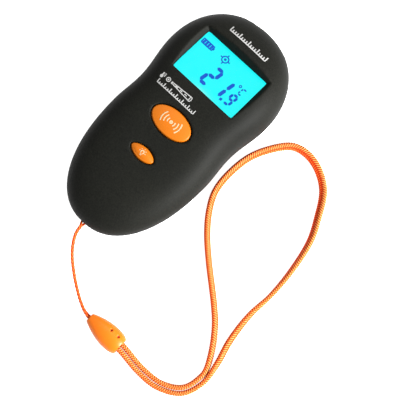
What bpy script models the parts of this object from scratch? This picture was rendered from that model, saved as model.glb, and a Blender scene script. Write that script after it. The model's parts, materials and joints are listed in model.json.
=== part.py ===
"""Pocket infrared thermometer, lying on its back.

The frame's origin is the centre of the flat base, +Y runs towards the sensor end, +X to the
device's right and +Z up through the display. Lengths below are millimetres; MM turns them into
Blender's metres when a mesh is made.
"""

import math

import bmesh
import bpy
from mathutils import Matrix, Vector

MM = 0.001
GAP = 0.3  # clearance between neighbouring pieces

# Case: a pear-shaped outline, domed above and dished below the parting plane
HALF_LENGTH = 49.0
HEAD_HALF_WIDTH, HEAD_Y, HEAD_POWER = 24.6, 22.55, 2.16
WAIST_HALF_WIDTH, WAIST_Y = 22.5, 4.25
TAIL_HALF_WIDTH, TAIL_Y, TAIL_POWER = 23.4, -8.9, 2.23
PARTING = 11.5
HEAD_CREST, TAIL_CREST, CREST_SPAN = 24.8, 21.0, 34.0
DOME_POWER, BOWL_POWER = 5.0, 2.2
BASE_SCALE = 0.6  # the flat base, as a share of the outline
WALL, COVER_WALL = 2.0, 1.6
CAP_STEPS, SIDE_STEPS, DOME_STEPS, BOWL_STEPS = 8, 6, 7, 5

# Display, in a plane that sinks towards the nose
DISPLAY_WIDTH, DISPLAY_LENGTH = 28.6, 19.1
DISPLAY_Y, DISPLAY_Z, DISPLAY_PITCH = 23.1, 22.0, math.radians(-8)
DISPLAY_SKIN = 1.2
WINDOW_LEVELS, LCD_LEVELS, GUIDE_LEVELS = (-1.1, -0.1), (-2.6, -1.5), (-4.4, -2.9)
STRIP_FOOT, STRIP_WIDTH = -6.4, 1.9
LCD_SEMI = (DISPLAY_WIDTH / 2 + 0.6, DISPLAY_LENGTH / 2 + 0.6)
LCD_FRAME_SEMI = (LCD_SEMI[0] + 1.2, LCD_SEMI[1] + 1.2)
LCD_STACK = 4.6  # depth of the frame's foot below the recess floor

# Buttons
TRIGGER_Y, TRIGGER_SEMI, TRIGGER_CROWN = -2.1, (8.55, 4.9), 23.4
LAMP_Y, LAMP_SEMI, LAMP_POWER, LAMP_CROWN = -16.9, (5.2, 2.4), 1.8, 22.2
BUTTON_FLANGE_Z, FLANGE_REACH = 18.2, 0.8
BUTTON_STEPS = 24

# Board and switches
BOARD_Z, BOARD_THICKNESS, BOARD_HALF_WIDTH = 14.1, 1.0, 13.8
BOARD_TAIL, BOARD_NOSE = -28.0, 30.6
SWITCH_HALF, SWITCH_HEIGHT, PLUNGER_RADIUS = 3.0, 1.8, 1.5

# Battery bay for two AAA cells
CELL_RADIUS, CELL_LENGTH, CELL_X, CELL_Z = 5.25, 44.5, 5.6, 7.25
BAY_HALF_WIDTH, BAY_TAIL, BAY_NOSE, BAY_TOP, BAY_WALL = 12.4, -35.0, 17.0, 12.8, 1.0
CELL_NOSE_END = 13.7
CONTACT_RADIUS, CONTACT_THICKNESS, DIMPLE_RADIUS = 3.8, 0.4, 1.4
SPRING_TOP, SPRING_FOOT, SPRING_WIRE, SPRING_TURNS = 1.8, 3.4, 0.25, 3
GRIPS, GRIP_START, GRIP_PITCH, GRIP_WIDTH, GRIP_REACH, GRIP_DEPTH = 5, -16.0, 2.6, 1.2, 7.0, 0.5
COVER_HALF_WIDTH, COVER_NOSE, COVER_TOP = 12.8, 16.2, 4.7
TONGUE_HALF_WIDTH, TONGUE_LOW, TONGUE_HIGH, TONGUE_REACH = 2.0, 2.3, 3.0, 2.4

# Nose
OPTICS_Z, LENS_X, LASER_X = 10.6, -3.6, 7.4
NOSE_OPENING, OPENING_POWER, OPENING_Z = (11.6, 5.2), 2.6, 11.0
BEZEL_BACK, BEZEL_SINK = 42.4, 0.15
TUBE_Y, LASER_Y = 31.1, 34.1  # back ends of the lens tube and the laser module

# Fasteners
CASE_SCREWS = ((-17.8, -14.0), (17.8, -14.0), (-19.6, 22.0), (19.6, 22.0))
BOARD_SCREWS = ((-10.5, 25.0), (10.5, 25.0))
BOSS_RADIUS, SCREW_SHANK, SCREW_HEAD, SCREW_SEAT = 3.1, 1.1, 2.2, 4.3
BOARD_BOSS_RADIUS, BOARD_SCREW_SHANK, BOARD_SCREW_HEAD = 2.2, 0.7, 1.5
DRIVE_REACH, DRIVE_HALF_WIDTH = 1.5, 0.25  # the arms of a screw's cross recess
OUTSIDE = 60.0  # reach of a cutter that runs clear past the case

# Strap
PIN_Y, PIN_RADIUS, SLOT_LOW, SLOT_HIGH = -44.0, 0.8, 7.3, 10.5
CORD_RADIUS, CORD_Z = 0.5, 8.9
BEAD_TIP, BEAD_LENGTH, BEAD_RADIUS, BEAD_Z = (25.3, -71.8), 15.4, 4.4, 3.5
BEAD_FLATTENING = 0.78
RIVET_START, RIVET_PITCH, RIVET_SIDE, RIVET_FLOOR, RIVET_RADIUS = 9.2, 3.4, 2.3, 2.3, 0.5
BAND_SEMI = (1.6, 1.0)

COLOURS = {  # base colour, roughness, metallic
    "rubber_black": ((0.026, 0.027, 0.024), 0.62, 0.0),
    "plastic_black": ((0.02, 0.02, 0.02), 0.4, 0.0),
    "button_orange": ((1.0, 0.25, 0.01), 0.35, 0.0),
    "strap_orange": ((0.95, 0.22, 0.02), 0.7, 0.0),
    "bead_orange": ((1.0, 0.3, 0.01), 0.25, 0.0),
    "clear_acrylic": ((0.75, 0.95, 1.0), 0.05, 0.0),
    "lcd_cyan": ((0.01, 0.85, 1.0), 0.3, 0.0),
    "light_guide": ((0.9, 0.95, 1.0), 0.4, 0.0),
    "plastic_white": ((0.8, 0.8, 0.78), 0.5, 0.0),
    "board_green": ((0.02, 0.16, 0.06), 0.45, 0.0),
    "steel": ((0.6, 0.6, 0.6), 0.3, 1.0),
    "brass": ((0.75, 0.55, 0.22), 0.3, 1.0),
    "cell_label": ((0.12, 0.13, 0.16), 0.35, 0.0),
    "lead_red": ((0.5, 0.02, 0.02), 0.5, 0.0),
    "lead_black": ((0.02, 0.02, 0.02), 0.5, 0.0),
    "contact_rubber": ((0.15, 0.15, 0.16), 0.7, 0.0),
    "infrared_lens": ((0.35, 0.36, 0.34), 0.35, 0.0),
}


def clear_scene():
    for obj in list(bpy.data.objects):
        bpy.data.objects.remove(obj, do_unlink=True)


def material(name):
    found = bpy.data.materials.get(name)
    if found:
        return found
    colour, roughness, metallic = COLOURS[name]
    made = bpy.data.materials.new(name)
    made.use_nodes = True
    shader = made.node_tree.nodes["Principled BSDF"]
    shader.inputs["Base Color"].default_value = (*colour, 1.0)
    shader.inputs["Roughness"].default_value = roughness
    shader.inputs["Metallic"].default_value = metallic
    return made


def add(name, bm, finish=None, at=(0, 0, 0), turn=(0, 0, 0), parent=None):
    """Makes an object from a bmesh in millimetres, which it frees."""
    bmesh.ops.scale(bm, vec=(MM, MM, MM), verts=bm.verts)
    bmesh.ops.recalc_face_normals(bm, faces=bm.faces)
    mesh = bpy.data.meshes.new(name)
    bm.to_mesh(mesh)
    bm.free()
    obj = bpy.data.objects.new(name, mesh)
    obj.location = Vector(at) * MM
    obj.rotation_euler = turn
    if parent:
        obj.parent = parent
    if finish:
        mesh.materials.append(material(finish))
    mesh.shade_smooth()
    mesh.set_sharp_from_angle(angle=math.radians(35))
    bpy.context.scene.collection.objects.link(obj)
    return obj


def helper(name, bm, at=(0, 0, 0), turn=(0, 0, 0)):
    """A cutter or filler: it shapes other pieces and isn't one itself."""
    obj = add("helper_" + name, bm, at=at, turn=turn)
    obj.hide_render = True
    obj.display_type = "WIRE"
    return obj


def combine(target, *others, operation="DIFFERENCE"):
    for other in others:
        step = target.modifiers.new(other.name, "BOOLEAN")
        step.operation = operation
        step.object = other
        step.solver = "EXACT"


def round_edges(obj, width, segments=2):
    bevel = obj.modifiers.new("rounded", "BEVEL")
    bevel.width = width * MM
    bevel.segments = segments
    bevel.limit_method = "ANGLE"


# Shapes, in millimetres


def loft(rings, looped=False, triangles=False):
    """Joins rings of equally many points; looped rings close on themselves, others get end caps."""
    bm = bmesh.new()
    loops = [[bm.verts.new(point) for point in ring] for ring in rings]
    following = loops[1:] + (loops[:1] if looped else [])
    for near, far in zip(loops, following):
        for i, vertex in enumerate(near):
            j = (i + 1) % len(near)
            bm.faces.new((vertex, near[j], far[j], far[i]))
    if not looped:
        bm.faces.new(reversed(loops[0]))
        bm.faces.new(loops[-1])
    if triangles:
        bmesh.ops.triangulate(bm, faces=bm.faces)
    return bm


def block(low, high):
    bm = bmesh.new()
    bmesh.ops.create_cube(bm, size=1.0)
    centre = (Vector(low) + Vector(high)) / 2
    size = Vector(high) - Vector(low)
    for vertex in bm.verts:
        vertex.co = centre + Vector([a * b for a, b in zip(vertex.co, size)])
    return bm


def turned(profile, segments=16, looped=False):
    """A shape turned about Z from (radius, height) points; looped profiles are rings."""
    rings = []
    for radius, height in profile:
        angles = [math.tau * i / segments for i in range(segments)]
        rings.append([(radius * math.cos(a), radius * math.sin(a), height) for a in angles])
    return loft(rings, looped=looped)


def superellipse(semi_x, semi_y, power, count):
    """Points of a superellipse, counter-clockwise."""
    points = []
    for i in range(count):
        a = math.tau * i / count
        c, s = math.cos(a), math.sin(a)
        x = semi_x * math.copysign(abs(c) ** (2 / power), c)
        y = semi_y * math.copysign(abs(s) ** (2 / power), s)
        points.append((x, y))
    return points


def prism(points, low, high):
    return loft([[(x, y, z) for x, y in points] for z in (low, high)])


def sweep(path, section, turns=None, up=(0, 0, 1)):
    """Carries a flat section, (across, along up) points, down a path and caps both ends."""
    path = [Vector(point) for point in path]
    rings = []
    for i, point in enumerate(path):
        ahead = (path[min(i + 1, len(path) - 1)] - path[max(i - 1, 0)]).normalized()
        side = ahead.cross(Vector(up)).normalized()
        rise = side.cross(ahead)
        turn = turns[i] if turns else 0.0
        across = math.cos(turn) * side + math.sin(turn) * rise
        along = math.cos(turn) * rise - math.sin(turn) * side
        rings.append([point + u * across + v * along for u, v in section])
    return loft(rings)


def smooth_path(points, steps):
    """A Catmull-Rom curve through the points, with the given steps in each span."""
    points = [Vector(point) for point in points]
    ends = [2 * points[0] - points[1]] + points + [2 * points[-1] - points[-2]]
    path = []
    for before, start, end, after in zip(ends, ends[1:], ends[2:], ends[3:]):
        for i in range(steps):
            t = i / steps
            path.append(
                0.5 * (2 * start + (end - before) * t)
                + 0.5 * (2 * before - 5 * start + 4 * end - after) * t**2
                + 0.5 * (3 * start - before - 3 * end + after) * t**3
            )
    return path + [points[-1]]


# The case's form


def blend(t):
    """Goes smoothly from 0 to 1."""
    return 0.5 - 0.5 * math.cos(math.pi * min(max(t, 0.0), 1.0))


def side_half_width(y):
    if y > WAIST_Y:
        share = blend((y - WAIST_Y) / (HEAD_Y - WAIST_Y))
        return WAIST_HALF_WIDTH + (HEAD_HALF_WIDTH - WAIST_HALF_WIDTH) * share
    share = blend((WAIST_Y - y) / (WAIST_Y - TAIL_Y))
    return WAIST_HALF_WIDTH + (TAIL_HALF_WIDTH - WAIST_HALF_WIDTH) * share


def outline(inset=0.0):
    """The case's outline seen from above, counter-clockwise from the nose, moved in by inset."""
    left = []
    for step in range(CAP_STEPS):
        a = math.pi / 2 * step / CAP_STEPS
        x = (HEAD_HALF_WIDTH - inset) * math.sin(a) ** (2 / HEAD_POWER)
        y = HEAD_Y + (HALF_LENGTH - inset - HEAD_Y) * math.cos(a) ** (2 / HEAD_POWER)
        left.append((-x, y))
    for step in range(SIDE_STEPS):
        y = HEAD_Y + (TAIL_Y - HEAD_Y) * step / SIDE_STEPS
        left.append((-(side_half_width(y) - inset), y))
    for step in range(CAP_STEPS + 1):
        a = math.pi / 2 * step / CAP_STEPS
        x = (TAIL_HALF_WIDTH - inset) * max(math.cos(a), 0.0) ** (2 / TAIL_POWER)
        y = TAIL_Y - (HALF_LENGTH - inset + TAIL_Y) * math.sin(a) ** (2 / TAIL_POWER)
        left.append((-x, y))
    right = [(-x, y) for x, y in reversed(left[1:-1])]
    return left + right


def crest(y):
    """Height of the case's top along its length."""
    return TAIL_CREST + (HEAD_CREST - TAIL_CREST) * blend((y + CREST_SPAN) / (2 * CREST_SPAN))


def dome(inset, floor):
    """The upper half as a solid, from floor up; inset moves its skin inwards."""
    edge = outline(inset)
    rings = [[(x, y, floor) for x, y in edge]]
    for step in range(DOME_STEPS):
        a = math.pi / 2 * step / DOME_STEPS
        scale = math.cos(a) ** (2 / DOME_POWER)
        ring = []
        for x, y in edge:
            height = (crest(y * scale) - PARTING - inset) * math.sin(a)
            ring.append((x * scale, y * scale, max(PARTING + height, floor + 0.02)))
        rings.append(ring)
    rings.append([(x * 0.2, y * 0.2, crest(y * 0.2) - inset) for x, y in edge])
    return loft(rings, triangles=True)


def bowl(inset, ceiling, neck=None):
    """The lower half as a solid, up to ceiling; neck carries it on upwards, drawn in."""
    edge = outline(inset)
    rings = []
    for step in range(BOWL_STEPS + 1):
        a = math.pi / 2 * step / BOWL_STEPS
        scale = BASE_SCALE + (1 - BASE_SCALE) * math.sin(a) ** (2 / BOWL_POWER)
        height = min(inset + (PARTING - inset) * (1 - math.cos(a)), ceiling - 0.02)
        rings.append([(x * scale, y * scale, height) for x, y in edge])
    rings.append([(x, y, ceiling) for x, y in edge])
    if neck:
        rings.append([(x * 0.85, y * 0.85, neck) for x, y in edge])
    return loft(rings, triangles=True)


def display_place():
    return {"at": (0, DISPLAY_Y, DISPLAY_Z), "turn": (DISPLAY_PITCH, 0, 0)}


def facing_nose(x, y, z):
    """Places a turned piece with its own +Z along the case's +Y."""
    return {"at": (x, y, z), "turn": (-math.pi / 2, 0, 0)}


def post(x, y, radius, low, high, name):
    return helper(name, turned([(radius, low), (radius, high)], 12), at=(x, y, 0))


# Case shells and cover


def display_recess():
    """The sunk window surround: flush at the tail side, with sloping walls elsewhere."""
    half_x, half_y, top = DISPLAY_WIDTH / 2, DISPLAY_LENGTH / 2, 6.0
    floor = [(-half_x, -half_y, 0), (half_x, -half_y, 0), (half_x, half_y, 0), (-half_x, half_y, 0)]
    sides, front, back = 1.1 * top, 0.45 * top, 3.0 * top
    upper = [
        (-half_x - sides, -half_y - back, top),
        (half_x + sides, -half_y - back, top),
        (half_x + sides, half_y + front, top),
        (-half_x - sides, half_y + front, top),
    ]
    return helper("display_recess", loft([floor, upper]), **display_place())


def display_hole():
    half_x, half_y = DISPLAY_WIDTH / 2, DISPLAY_LENGTH / 2
    bm = block((-half_x, -half_y, -8), (half_x, half_y, 4))
    return helper("display_hole", bm, **display_place())


def top_cavity():
    """The room inside the upper shell, less the pads and bosses that stand in it."""
    cavity = helper("top_cavity", dome(WALL, PARTING - 2))
    half_x, half_y = DISPLAY_WIDTH / 2 + 2.4, DISPLAY_LENGTH / 2 + 2.0
    pad = block((-half_x, -half_y, -DISPLAY_SKIN), (half_x, half_y, 6))
    combine(cavity, helper("display_pad", pad, **display_place()))
    half_x, half_y = (reach + GAP for reach in LCD_FRAME_SEMI)
    room = block((-half_x, -half_y, -LCD_STACK), (half_x, half_y, -DISPLAY_SKIN))
    combine(cavity, helper("frame_room", room, **display_place()), operation="UNION")
    for i, (x, y) in enumerate(CASE_SCREWS):
        combine(cavity, post(x, y, BOSS_RADIUS, PARTING + GAP / 2, 26, f"top_boss_{i}"))
    return cavity


def button_hole(name, semi, power, y):
    points = superellipse(semi[0] + GAP, semi[1] + GAP, power, BUTTON_STEPS)
    return helper(name, prism(points, 15, 28), at=(0, y, 0))


def nose_opening():
    points = superellipse(*NOSE_OPENING, OPENING_POWER, 24)
    return helper("nose_opening", prism(points, -9, 9), **facing_nose(0, HALF_LENGTH - 1, OPENING_Z))


def make_top_case():
    case = add("top_case", dome(0.0, PARTING + GAP / 2), "rubber_black")
    combine(case, top_cavity(), display_recess(), display_hole())
    combine(case, button_hole("trigger_hole", TRIGGER_SEMI, 2.0, TRIGGER_Y))
    combine(case, button_hole("lamp_hole", LAMP_SEMI, LAMP_POWER, LAMP_Y))
    combine(case, nose_opening())
    for i, (x, y) in enumerate(CASE_SCREWS):
        combine(case, post(x, y, SCREW_SHANK + GAP, 5, 18.6, f"top_pilot_{i}"))
    return case


def inner_frame():
    """The battery bay's walls and ceiling, the bosses and the strap anchor, kept inside the skin."""
    half, wall = BAY_HALF_WIDTH, 1.6
    solid = block((-half - wall, BAY_TAIL - wall, 0), (half + wall, BAY_NOSE + wall, BAY_TOP + BAY_WALL))
    frame = helper("inner_frame", solid)
    anchor = block((-5.0, PIN_Y - 3.3, 5.6), (5.0, PIN_Y + 4, PARTING - GAP / 2))
    combine(frame, helper("strap_anchor", anchor), operation="UNION")
    for i, (x, y) in enumerate(CASE_SCREWS):
        boss = post(x, y, BOSS_RADIUS, 1.0, PARTING - GAP / 2, f"case_boss_{i}")
        combine(frame, boss, operation="UNION")
    for i, (x, y) in enumerate(BOARD_SCREWS):
        boss = post(x, y, BOARD_BOSS_RADIUS, 1.0, BOARD_Z - GAP, f"board_boss_{i}")
        combine(frame, boss, operation="UNION")
    combine(frame, helper("frame_limit", bowl(0.4, PARTING, neck=20.0)), operation="INTERSECT")
    inside = block((-half, BAY_TAIL, -2), (half, BAY_NOSE, BAY_TOP))
    combine(frame, helper("bay", inside))
    return frame


def cover_opening():
    reach = COVER_HALF_WIDTH + GAP
    low, high = (-reach, -OUTSIDE, -2), (reach, COVER_NOSE + GAP, COVER_TOP + GAP)
    opening = helper("cover_opening", block(low, high))
    combine(opening, helper("opening_limit", bowl(WALL + 0.15, PARTING, neck=20.0)))
    return opening


def tongue_slot():
    """A slot through the bay's nose wall, for the cover's tongue."""
    half = TONGUE_HALF_WIDTH + GAP
    low, high = (-half, BAY_NOSE - 1, TONGUE_LOW - GAP), (half, BAY_NOSE + 2.6, TONGUE_HIGH + GAP)
    return helper("tongue_slot", block(low, high))


def strap_slot():
    """A flat slot, wide at the skin and narrow at the pin, for the cord to swing in."""
    points = [(-2.9, 2.7), (-3.7, -1.0), (-6.9, -7.0), (4.4, -7.0), (2.9, -1.0), (2.9, 2.7)]
    return helper("strap_slot", prism(points, SLOT_LOW, SLOT_HIGH), at=(0, PIN_Y, 0))


def make_bottom_case():
    case = add("bottom_case", bowl(0.0, PARTING - GAP / 2), "rubber_black")
    combine(case, helper("bottom_cavity", bowl(WALL, PARTING + 2)))
    combine(case, inner_frame(), operation="UNION")
    combine(case, cover_opening(), tongue_slot(), strap_slot(), nose_opening())
    combine(case, post(0, PIN_Y, PIN_RADIUS + GAP, 6.2, 12, "pin_hole"))
    for i, (x, y) in enumerate(CASE_SCREWS):
        combine(case, post(x, y, SCREW_HEAD + GAP, -1, 4.6, f"counterbore_{i}"))
        combine(case, post(x, y, SCREW_SHANK + GAP, -1, 13, f"case_pilot_{i}"))
    for i, (x, y) in enumerate(BOARD_SCREWS):
        combine(case, post(x, y, BOARD_SCREW_SHANK + GAP, 8.5, 15, f"board_pilot_{i}"))
    return case


def make_battery_cover():
    """A tongue of the lower skin, with grip grooves and a latch tab at its nose end."""
    reach = COVER_HALF_WIDTH
    cover = add("battery_cover", bowl(0.0, PARTING - GAP / 2), "rubber_black")
    limit = block((-reach, -OUTSIDE, -2), (reach, COVER_NOSE, COVER_TOP))
    combine(cover, helper("cover_limit", limit), operation="INTERSECT")
    combine(cover, helper("cover_inside", bowl(COVER_WALL, PARTING + 2)))
    half, foot = TONGUE_HALF_WIDTH, COVER_NOSE - 2.0
    latch = helper("cover_tab", block((-half, foot, COVER_WALL / 2), (half, COVER_NOSE, TONGUE_HIGH)))
    tongue = block((-half, foot, TONGUE_LOW), (half, COVER_NOSE + TONGUE_REACH, TONGUE_HIGH))
    combine(latch, helper("cover_tongue", tongue), operation="UNION")
    combine(cover, latch, operation="UNION")
    for i in range(GRIPS):
        y = GRIP_START + GRIP_PITCH * i
        groove = block((-GRIP_REACH, y, -1), (GRIP_REACH, y + GRIP_WIDTH, GRIP_DEPTH))
        combine(cover, helper(f"grip_{i}", groove))
    return cover


# Nose


def nose_form():
    """The case's own form over its whole height, a little inside the skin."""
    form = helper("nose_form", dome(BEZEL_SINK, PARTING))
    combine(form, helper("nose_form_below", bowl(BEZEL_SINK, PARTING + 1)), operation="UNION")
    return form


def make_nose_bezel():
    """The insert round the lens and the laser; its front follows the case's curve."""
    points = superellipse(NOSE_OPENING[0] - GAP, NOSE_OPENING[1] - GAP, OPENING_POWER, 24)
    bezel = add("nose_bezel", prism(points, 0, 9), "plastic_black", **facing_nose(0, BEZEL_BACK, OPENING_Z))
    combine(bezel, nose_form(), operation="INTERSECT")
    cone = turned([(3.5, -1), (3.5, 1.6), (5.1, 7)], 32)
    combine(bezel, helper("lens_cone", cone, **facing_nose(LENS_X, BEZEL_BACK, OPTICS_Z)))
    bore = turned([(1.5, -1), (1.5, 4.0), (2.2, 7)], 24)
    combine(bezel, helper("laser_bore", bore, **facing_nose(LASER_X, BEZEL_BACK, OPTICS_Z)))


def make_optics():
    tube = [(4.6, 0), (4.6, 11.0), (3.9, 11.0), (3.9, 0)]
    place = facing_nose(LENS_X, TUBE_Y, OPTICS_Z)
    add("lens_tube", turned(tube, 20, looped=True), "plastic_black", **place)
    lens = [(3.4, 0), (3.4, 0.6), (2.9, 0.9), (2.5, 0.6), (2.1, 0.9), (1.7, 0.6), (1.2, 1.0), (0.4, 1.1)]
    add("infrared_lens", turned(lens, 16), "infrared_lens", **facing_nose(LENS_X, TUBE_Y + 9.5, OPTICS_Z))
    can = [(2.8, 0), (2.8, 0.5), (2.3, 0.5), (2.3, 3.2), (1.3, 3.3)]
    add("thermopile_sensor", turned(can, 16), "steel", **facing_nose(LENS_X, TUBE_Y + 0.2, OPTICS_Z))
    board = block((-6.4, TUBE_Y - 1.3, 6.0), (6.4, TUBE_Y - GAP, 13.6))
    add("sensor_board", board, "board_green", at=(LENS_X, 0, 0))
    module = [(3.0, 0), (3.0, 8.0), (2.2, 8.0), (2.2, 5.0), (1.0, 5.0), (1.0, 0)]
    add("laser_module", turned(module, 16, looped=True), "brass", **facing_nose(LASER_X, LASER_Y, OPTICS_Z))
    beam = [(1.9, 0), (1.9, 0.5), (1.0, 1.0), (0.3, 1.1)]
    add("laser_lens", turned(beam, 16), "clear_acrylic", **facing_nose(LASER_X, LASER_Y + 5.4, OPTICS_Z))


# Display stack, in the display's own tilted plane


def plate(name, half_x, low_y, high_y, low, high, finish):
    bm = block((-half_x, low_y, low), (half_x, high_y, high))
    return add(name, bm, finish, **display_place())


def make_display():
    half_x, half_y = DISPLAY_WIDTH / 2, DISPLAY_LENGTH / 2
    plate("display_window", half_x - GAP, -half_y + GAP, half_y - GAP, *WINDOW_LEVELS, "clear_acrylic")
    lcd_x, lcd_y = LCD_SEMI
    plate("lcd_glass", lcd_x, -lcd_y, lcd_y, *LCD_LEVELS, "lcd_cyan")
    plate("backlight_panel", lcd_x, -lcd_y + 3.0, lcd_y, *GUIDE_LEVELS, "light_guide")
    low_y, strip_top = -lcd_y + 0.5, GUIDE_LEVELS[1]
    strip_x, high_y = half_x - 1.0, low_y + STRIP_WIDTH
    plate("contact_strip", strip_x, low_y, high_y, STRIP_FOOT, strip_top, "contact_rubber")
    frame_x, frame_y = LCD_FRAME_SEMI
    frame = plate("lcd_frame", frame_x, -frame_y, frame_y, GAP - LCD_STACK, LCD_LEVELS[1], "plastic_white")
    inside = block((-lcd_x - GAP, -lcd_y - GAP, -6), (lcd_x + GAP, lcd_y + GAP, 0))
    combine(frame, helper("frame_inside", inside, **display_place()))


# Buttons and switches


def button_form(semi, power, crown_z):
    """A flanged button: a wide foot under the case's skin, a stem and a domed face."""
    sections = [  # outward reach, height
        (FLANGE_REACH, BUTTON_FLANGE_Z),
        (FLANGE_REACH, BUTTON_FLANGE_Z + 0.55),
        (0.0, BUTTON_FLANGE_Z + 0.6),
        (0.0, crown_z - 0.75),
        (-0.15, crown_z - 0.5),
    ]
    rings = []
    for reach, z in sections:
        ring = superellipse(semi[0] + reach, semi[1] + reach, power, BUTTON_STEPS)
        rings.append([(x, y, z) for x, y in ring])
    edge = superellipse(semi[0] - 0.15, semi[1] - 0.15, power, BUTTON_STEPS)
    for share in (0.9, 0.7, 0.45, 0.2):
        z = crown_z - 0.5 * share**2.6
        rings.append([(x * share, y * share, z) for x, y in edge])
    return loft(rings, triangles=True)


def make_button(name, semi, power, y, crown_z):
    add(name, button_form(semi, power, crown_z), "button_orange", at=(0, y, 0))


def make_switch(prefix, y):
    floor = BOARD_Z + BOARD_THICKNESS + GAP
    half, radius = SWITCH_HALF, PLUNGER_RADIUS
    case = block((-half, y - half, floor), (half, y + half, floor + SWITCH_HEIGHT))
    body = add(prefix + "_switch_body", case, "plastic_black")
    combine(body, post(0, y, radius + GAP, floor + 0.45, 20, prefix + "_switch_well"))
    plunger = [(radius, floor + 1.1), (radius, 17.5), (radius - 0.3, BUTTON_FLANGE_Z - GAP)]
    add(prefix + "_switch_plunger", turned(plunger, 12), "plastic_white", at=(0, y, 0))


# Board, battery and wiring


def make_board():
    top = BOARD_Z + BOARD_THICKNESS
    half = BOARD_HALF_WIDTH
    board = add("main_board", block((-half, BOARD_TAIL, BOARD_Z), (half, BOARD_NOSE, top)), "board_green")
    for i, (x, y) in enumerate(BOARD_SCREWS):
        shank, head = BOARD_SCREW_SHANK, BOARD_SCREW_HEAD
        combine(board, post(x, y, shank + GAP, 10, 20, f"board_hole_{i}"))
        screw = [(shank, -4.5), (shank, 0), (head, 0.05), (head, 0.8), (0.9, 1.0)]
        add(f"board_screw_{i + 1}", turned(screw, 16), "steel", at=(x, y, top + GAP))
    below = BOARD_Z - GAP
    add("controller_chip", block((-3.5, 20.5, below - 1.4), (3.5, 27.5, below)), "plastic_black")
    add("amplifier_chip", block((-8.2, 20.0, below - 1.4), (-5.2, 24.0, below)), "plastic_black")
    can = add("crystal", block((5.2, 21.0, below - 2.4), (7.4, 28.0, below)), "steel")
    round_edges(can, 0.8, 3)
    capacitor = turned([(2.0, 0), (2.0, 5.0), (1.7, 5.2)], 16)
    add("capacitor", capacitor, "plastic_black", at=(10.8, 29.6, below - 5.2))


def make_screws():
    screw = [(SCREW_SHANK, 13.4), (SCREW_SHANK, 0), (SCREW_HEAD, -0.1), (SCREW_HEAD, -1.5), (1.6, -1.8)]
    for i, (x, y) in enumerate(CASE_SCREWS):
        seat = (x, y, SCREW_SEAT)
        obj = add(f"case_screw_{i + 1}", turned(list(reversed(screw)), 16), "steel", at=seat)
        slot = block((-DRIVE_REACH, -DRIVE_HALF_WIDTH, -3), (DRIVE_REACH, DRIVE_HALF_WIDTH, -1.0))
        cross = block((-DRIVE_HALF_WIDTH, -DRIVE_REACH, -3), (DRIVE_HALF_WIDTH, DRIVE_REACH, -1.0))
        combine(obj, helper(f"drive_{i}", slot, at=seat), helper(f"cross_{i}", cross, at=seat))


def make_cell(name, x, nub_towards_nose):
    """An AAA cell; its own +Z is the positive end."""
    body = CELL_LENGTH - 0.8
    profile = [(4.9, 0), (CELL_RADIUS, 0.35), (CELL_RADIUS, body - 0.35), (4.9, body)]
    profile += [(1.9, body + 0.02), (1.9, CELL_LENGTH - 0.15), (1.7, CELL_LENGTH)]
    if nub_towards_nose:
        place = facing_nose(x, CELL_NOSE_END - CELL_LENGTH, CELL_Z)
    else:
        place = {"at": (x, CELL_NOSE_END, CELL_Z), "turn": (math.pi / 2, 0, 0)}
    add(name, turned(profile, 20), "cell_label", **place)


def coil(length):
    """A conical compression spring standing on its wide end."""
    angles = [math.tau * i / 5 for i in range(5)]
    wire = [(SPRING_WIRE * math.cos(a), SPRING_WIRE * math.sin(a)) for a in angles]
    steps = 10 * SPRING_TURNS
    path = []
    for i in range(steps + 1):
        share = i / steps
        a = math.tau * SPRING_TURNS * share
        radius = SPRING_FOOT + (SPRING_TOP - SPRING_FOOT) * share
        height = SPRING_WIRE + (length - 2 * SPRING_WIRE) * share
        path.append((radius * math.cos(a), radius * math.sin(a), height))
    return sweep(path, wire)


def make_contacts():
    plate_y, dimple_tip = BAY_NOSE - GAP, CELL_NOSE_END + GAP
    radius, thickness = CONTACT_RADIUS, CONTACT_THICKNESS
    dimple = [(radius, 0), (radius, thickness), (2.2, thickness), (DIMPLE_RADIUS, plate_y - dimple_tip)]
    to_tail = (math.pi / 2, 0, 0)
    add("positive_contact", turned(dimple, 16), "steel", at=(CELL_X, plate_y, CELL_Z), turn=to_tail)
    flat = turned([(radius, 0), (radius, thickness)], 16)
    add("negative_contact", flat, "steel", at=(-CELL_X, plate_y, CELL_Z), turn=to_tail)
    gap_to_cell = plate_y - thickness - GAP - (CELL_NOSE_END + GAP)
    foot = (-CELL_X, plate_y - thickness - GAP, CELL_Z)
    add("nose_spring", coil(gap_to_cell), "steel", at=foot, turn=to_tail)

    tail_end = CELL_NOSE_END - CELL_LENGTH
    bridge_y = BAY_TAIL + GAP
    bridge = add("bridge_plate", block((-10, bridge_y, 3.9), (10, bridge_y + thickness, 11.2)), "steel")
    bump = [(2.2, 0.1), (DIMPLE_RADIUS, tail_end - GAP - bridge_y)]
    bump_piece = helper("bridge_bump", turned(bump, 16), **facing_nose(-CELL_X, bridge_y, CELL_Z))
    combine(bridge, bump_piece, operation="UNION")
    foot_y = bridge_y + thickness + GAP
    spring = coil(tail_end - GAP - foot_y)
    add("tail_spring", spring, "steel", **facing_nose(CELL_X, foot_y, CELL_Z))


def make_lead(name, finish, points):
    wire = superellipse(0.45, 0.45, 2.0, 6)
    add(name, sweep(smooth_path(points, 3), wire), finish)


def make_leads():
    laser = [(7.0, 33.6, 10.2), (5.2, 32.6, 8.4), (4.5, 28.5, 7.6), (3.0, 24.0, 8.4), (1.5, 21.0, 10.6)]
    make_lead("laser_lead", "lead_red", laser)
    sensor = [(-3.6, 29.1, 9.5), (-4.4, 27.0, 8.2), (-5.6, 24.8, 8.6), (-6.6, 22.0, 10.8)]
    make_lead("sensor_lead", "lead_black", sensor)


# Strap


def make_strap_pin():
    add("strap_pin", turned([(PIN_RADIUS, 6.5), (PIN_RADIUS, 11.0)], 16), "steel", at=(0, PIN_Y, 0))


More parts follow.
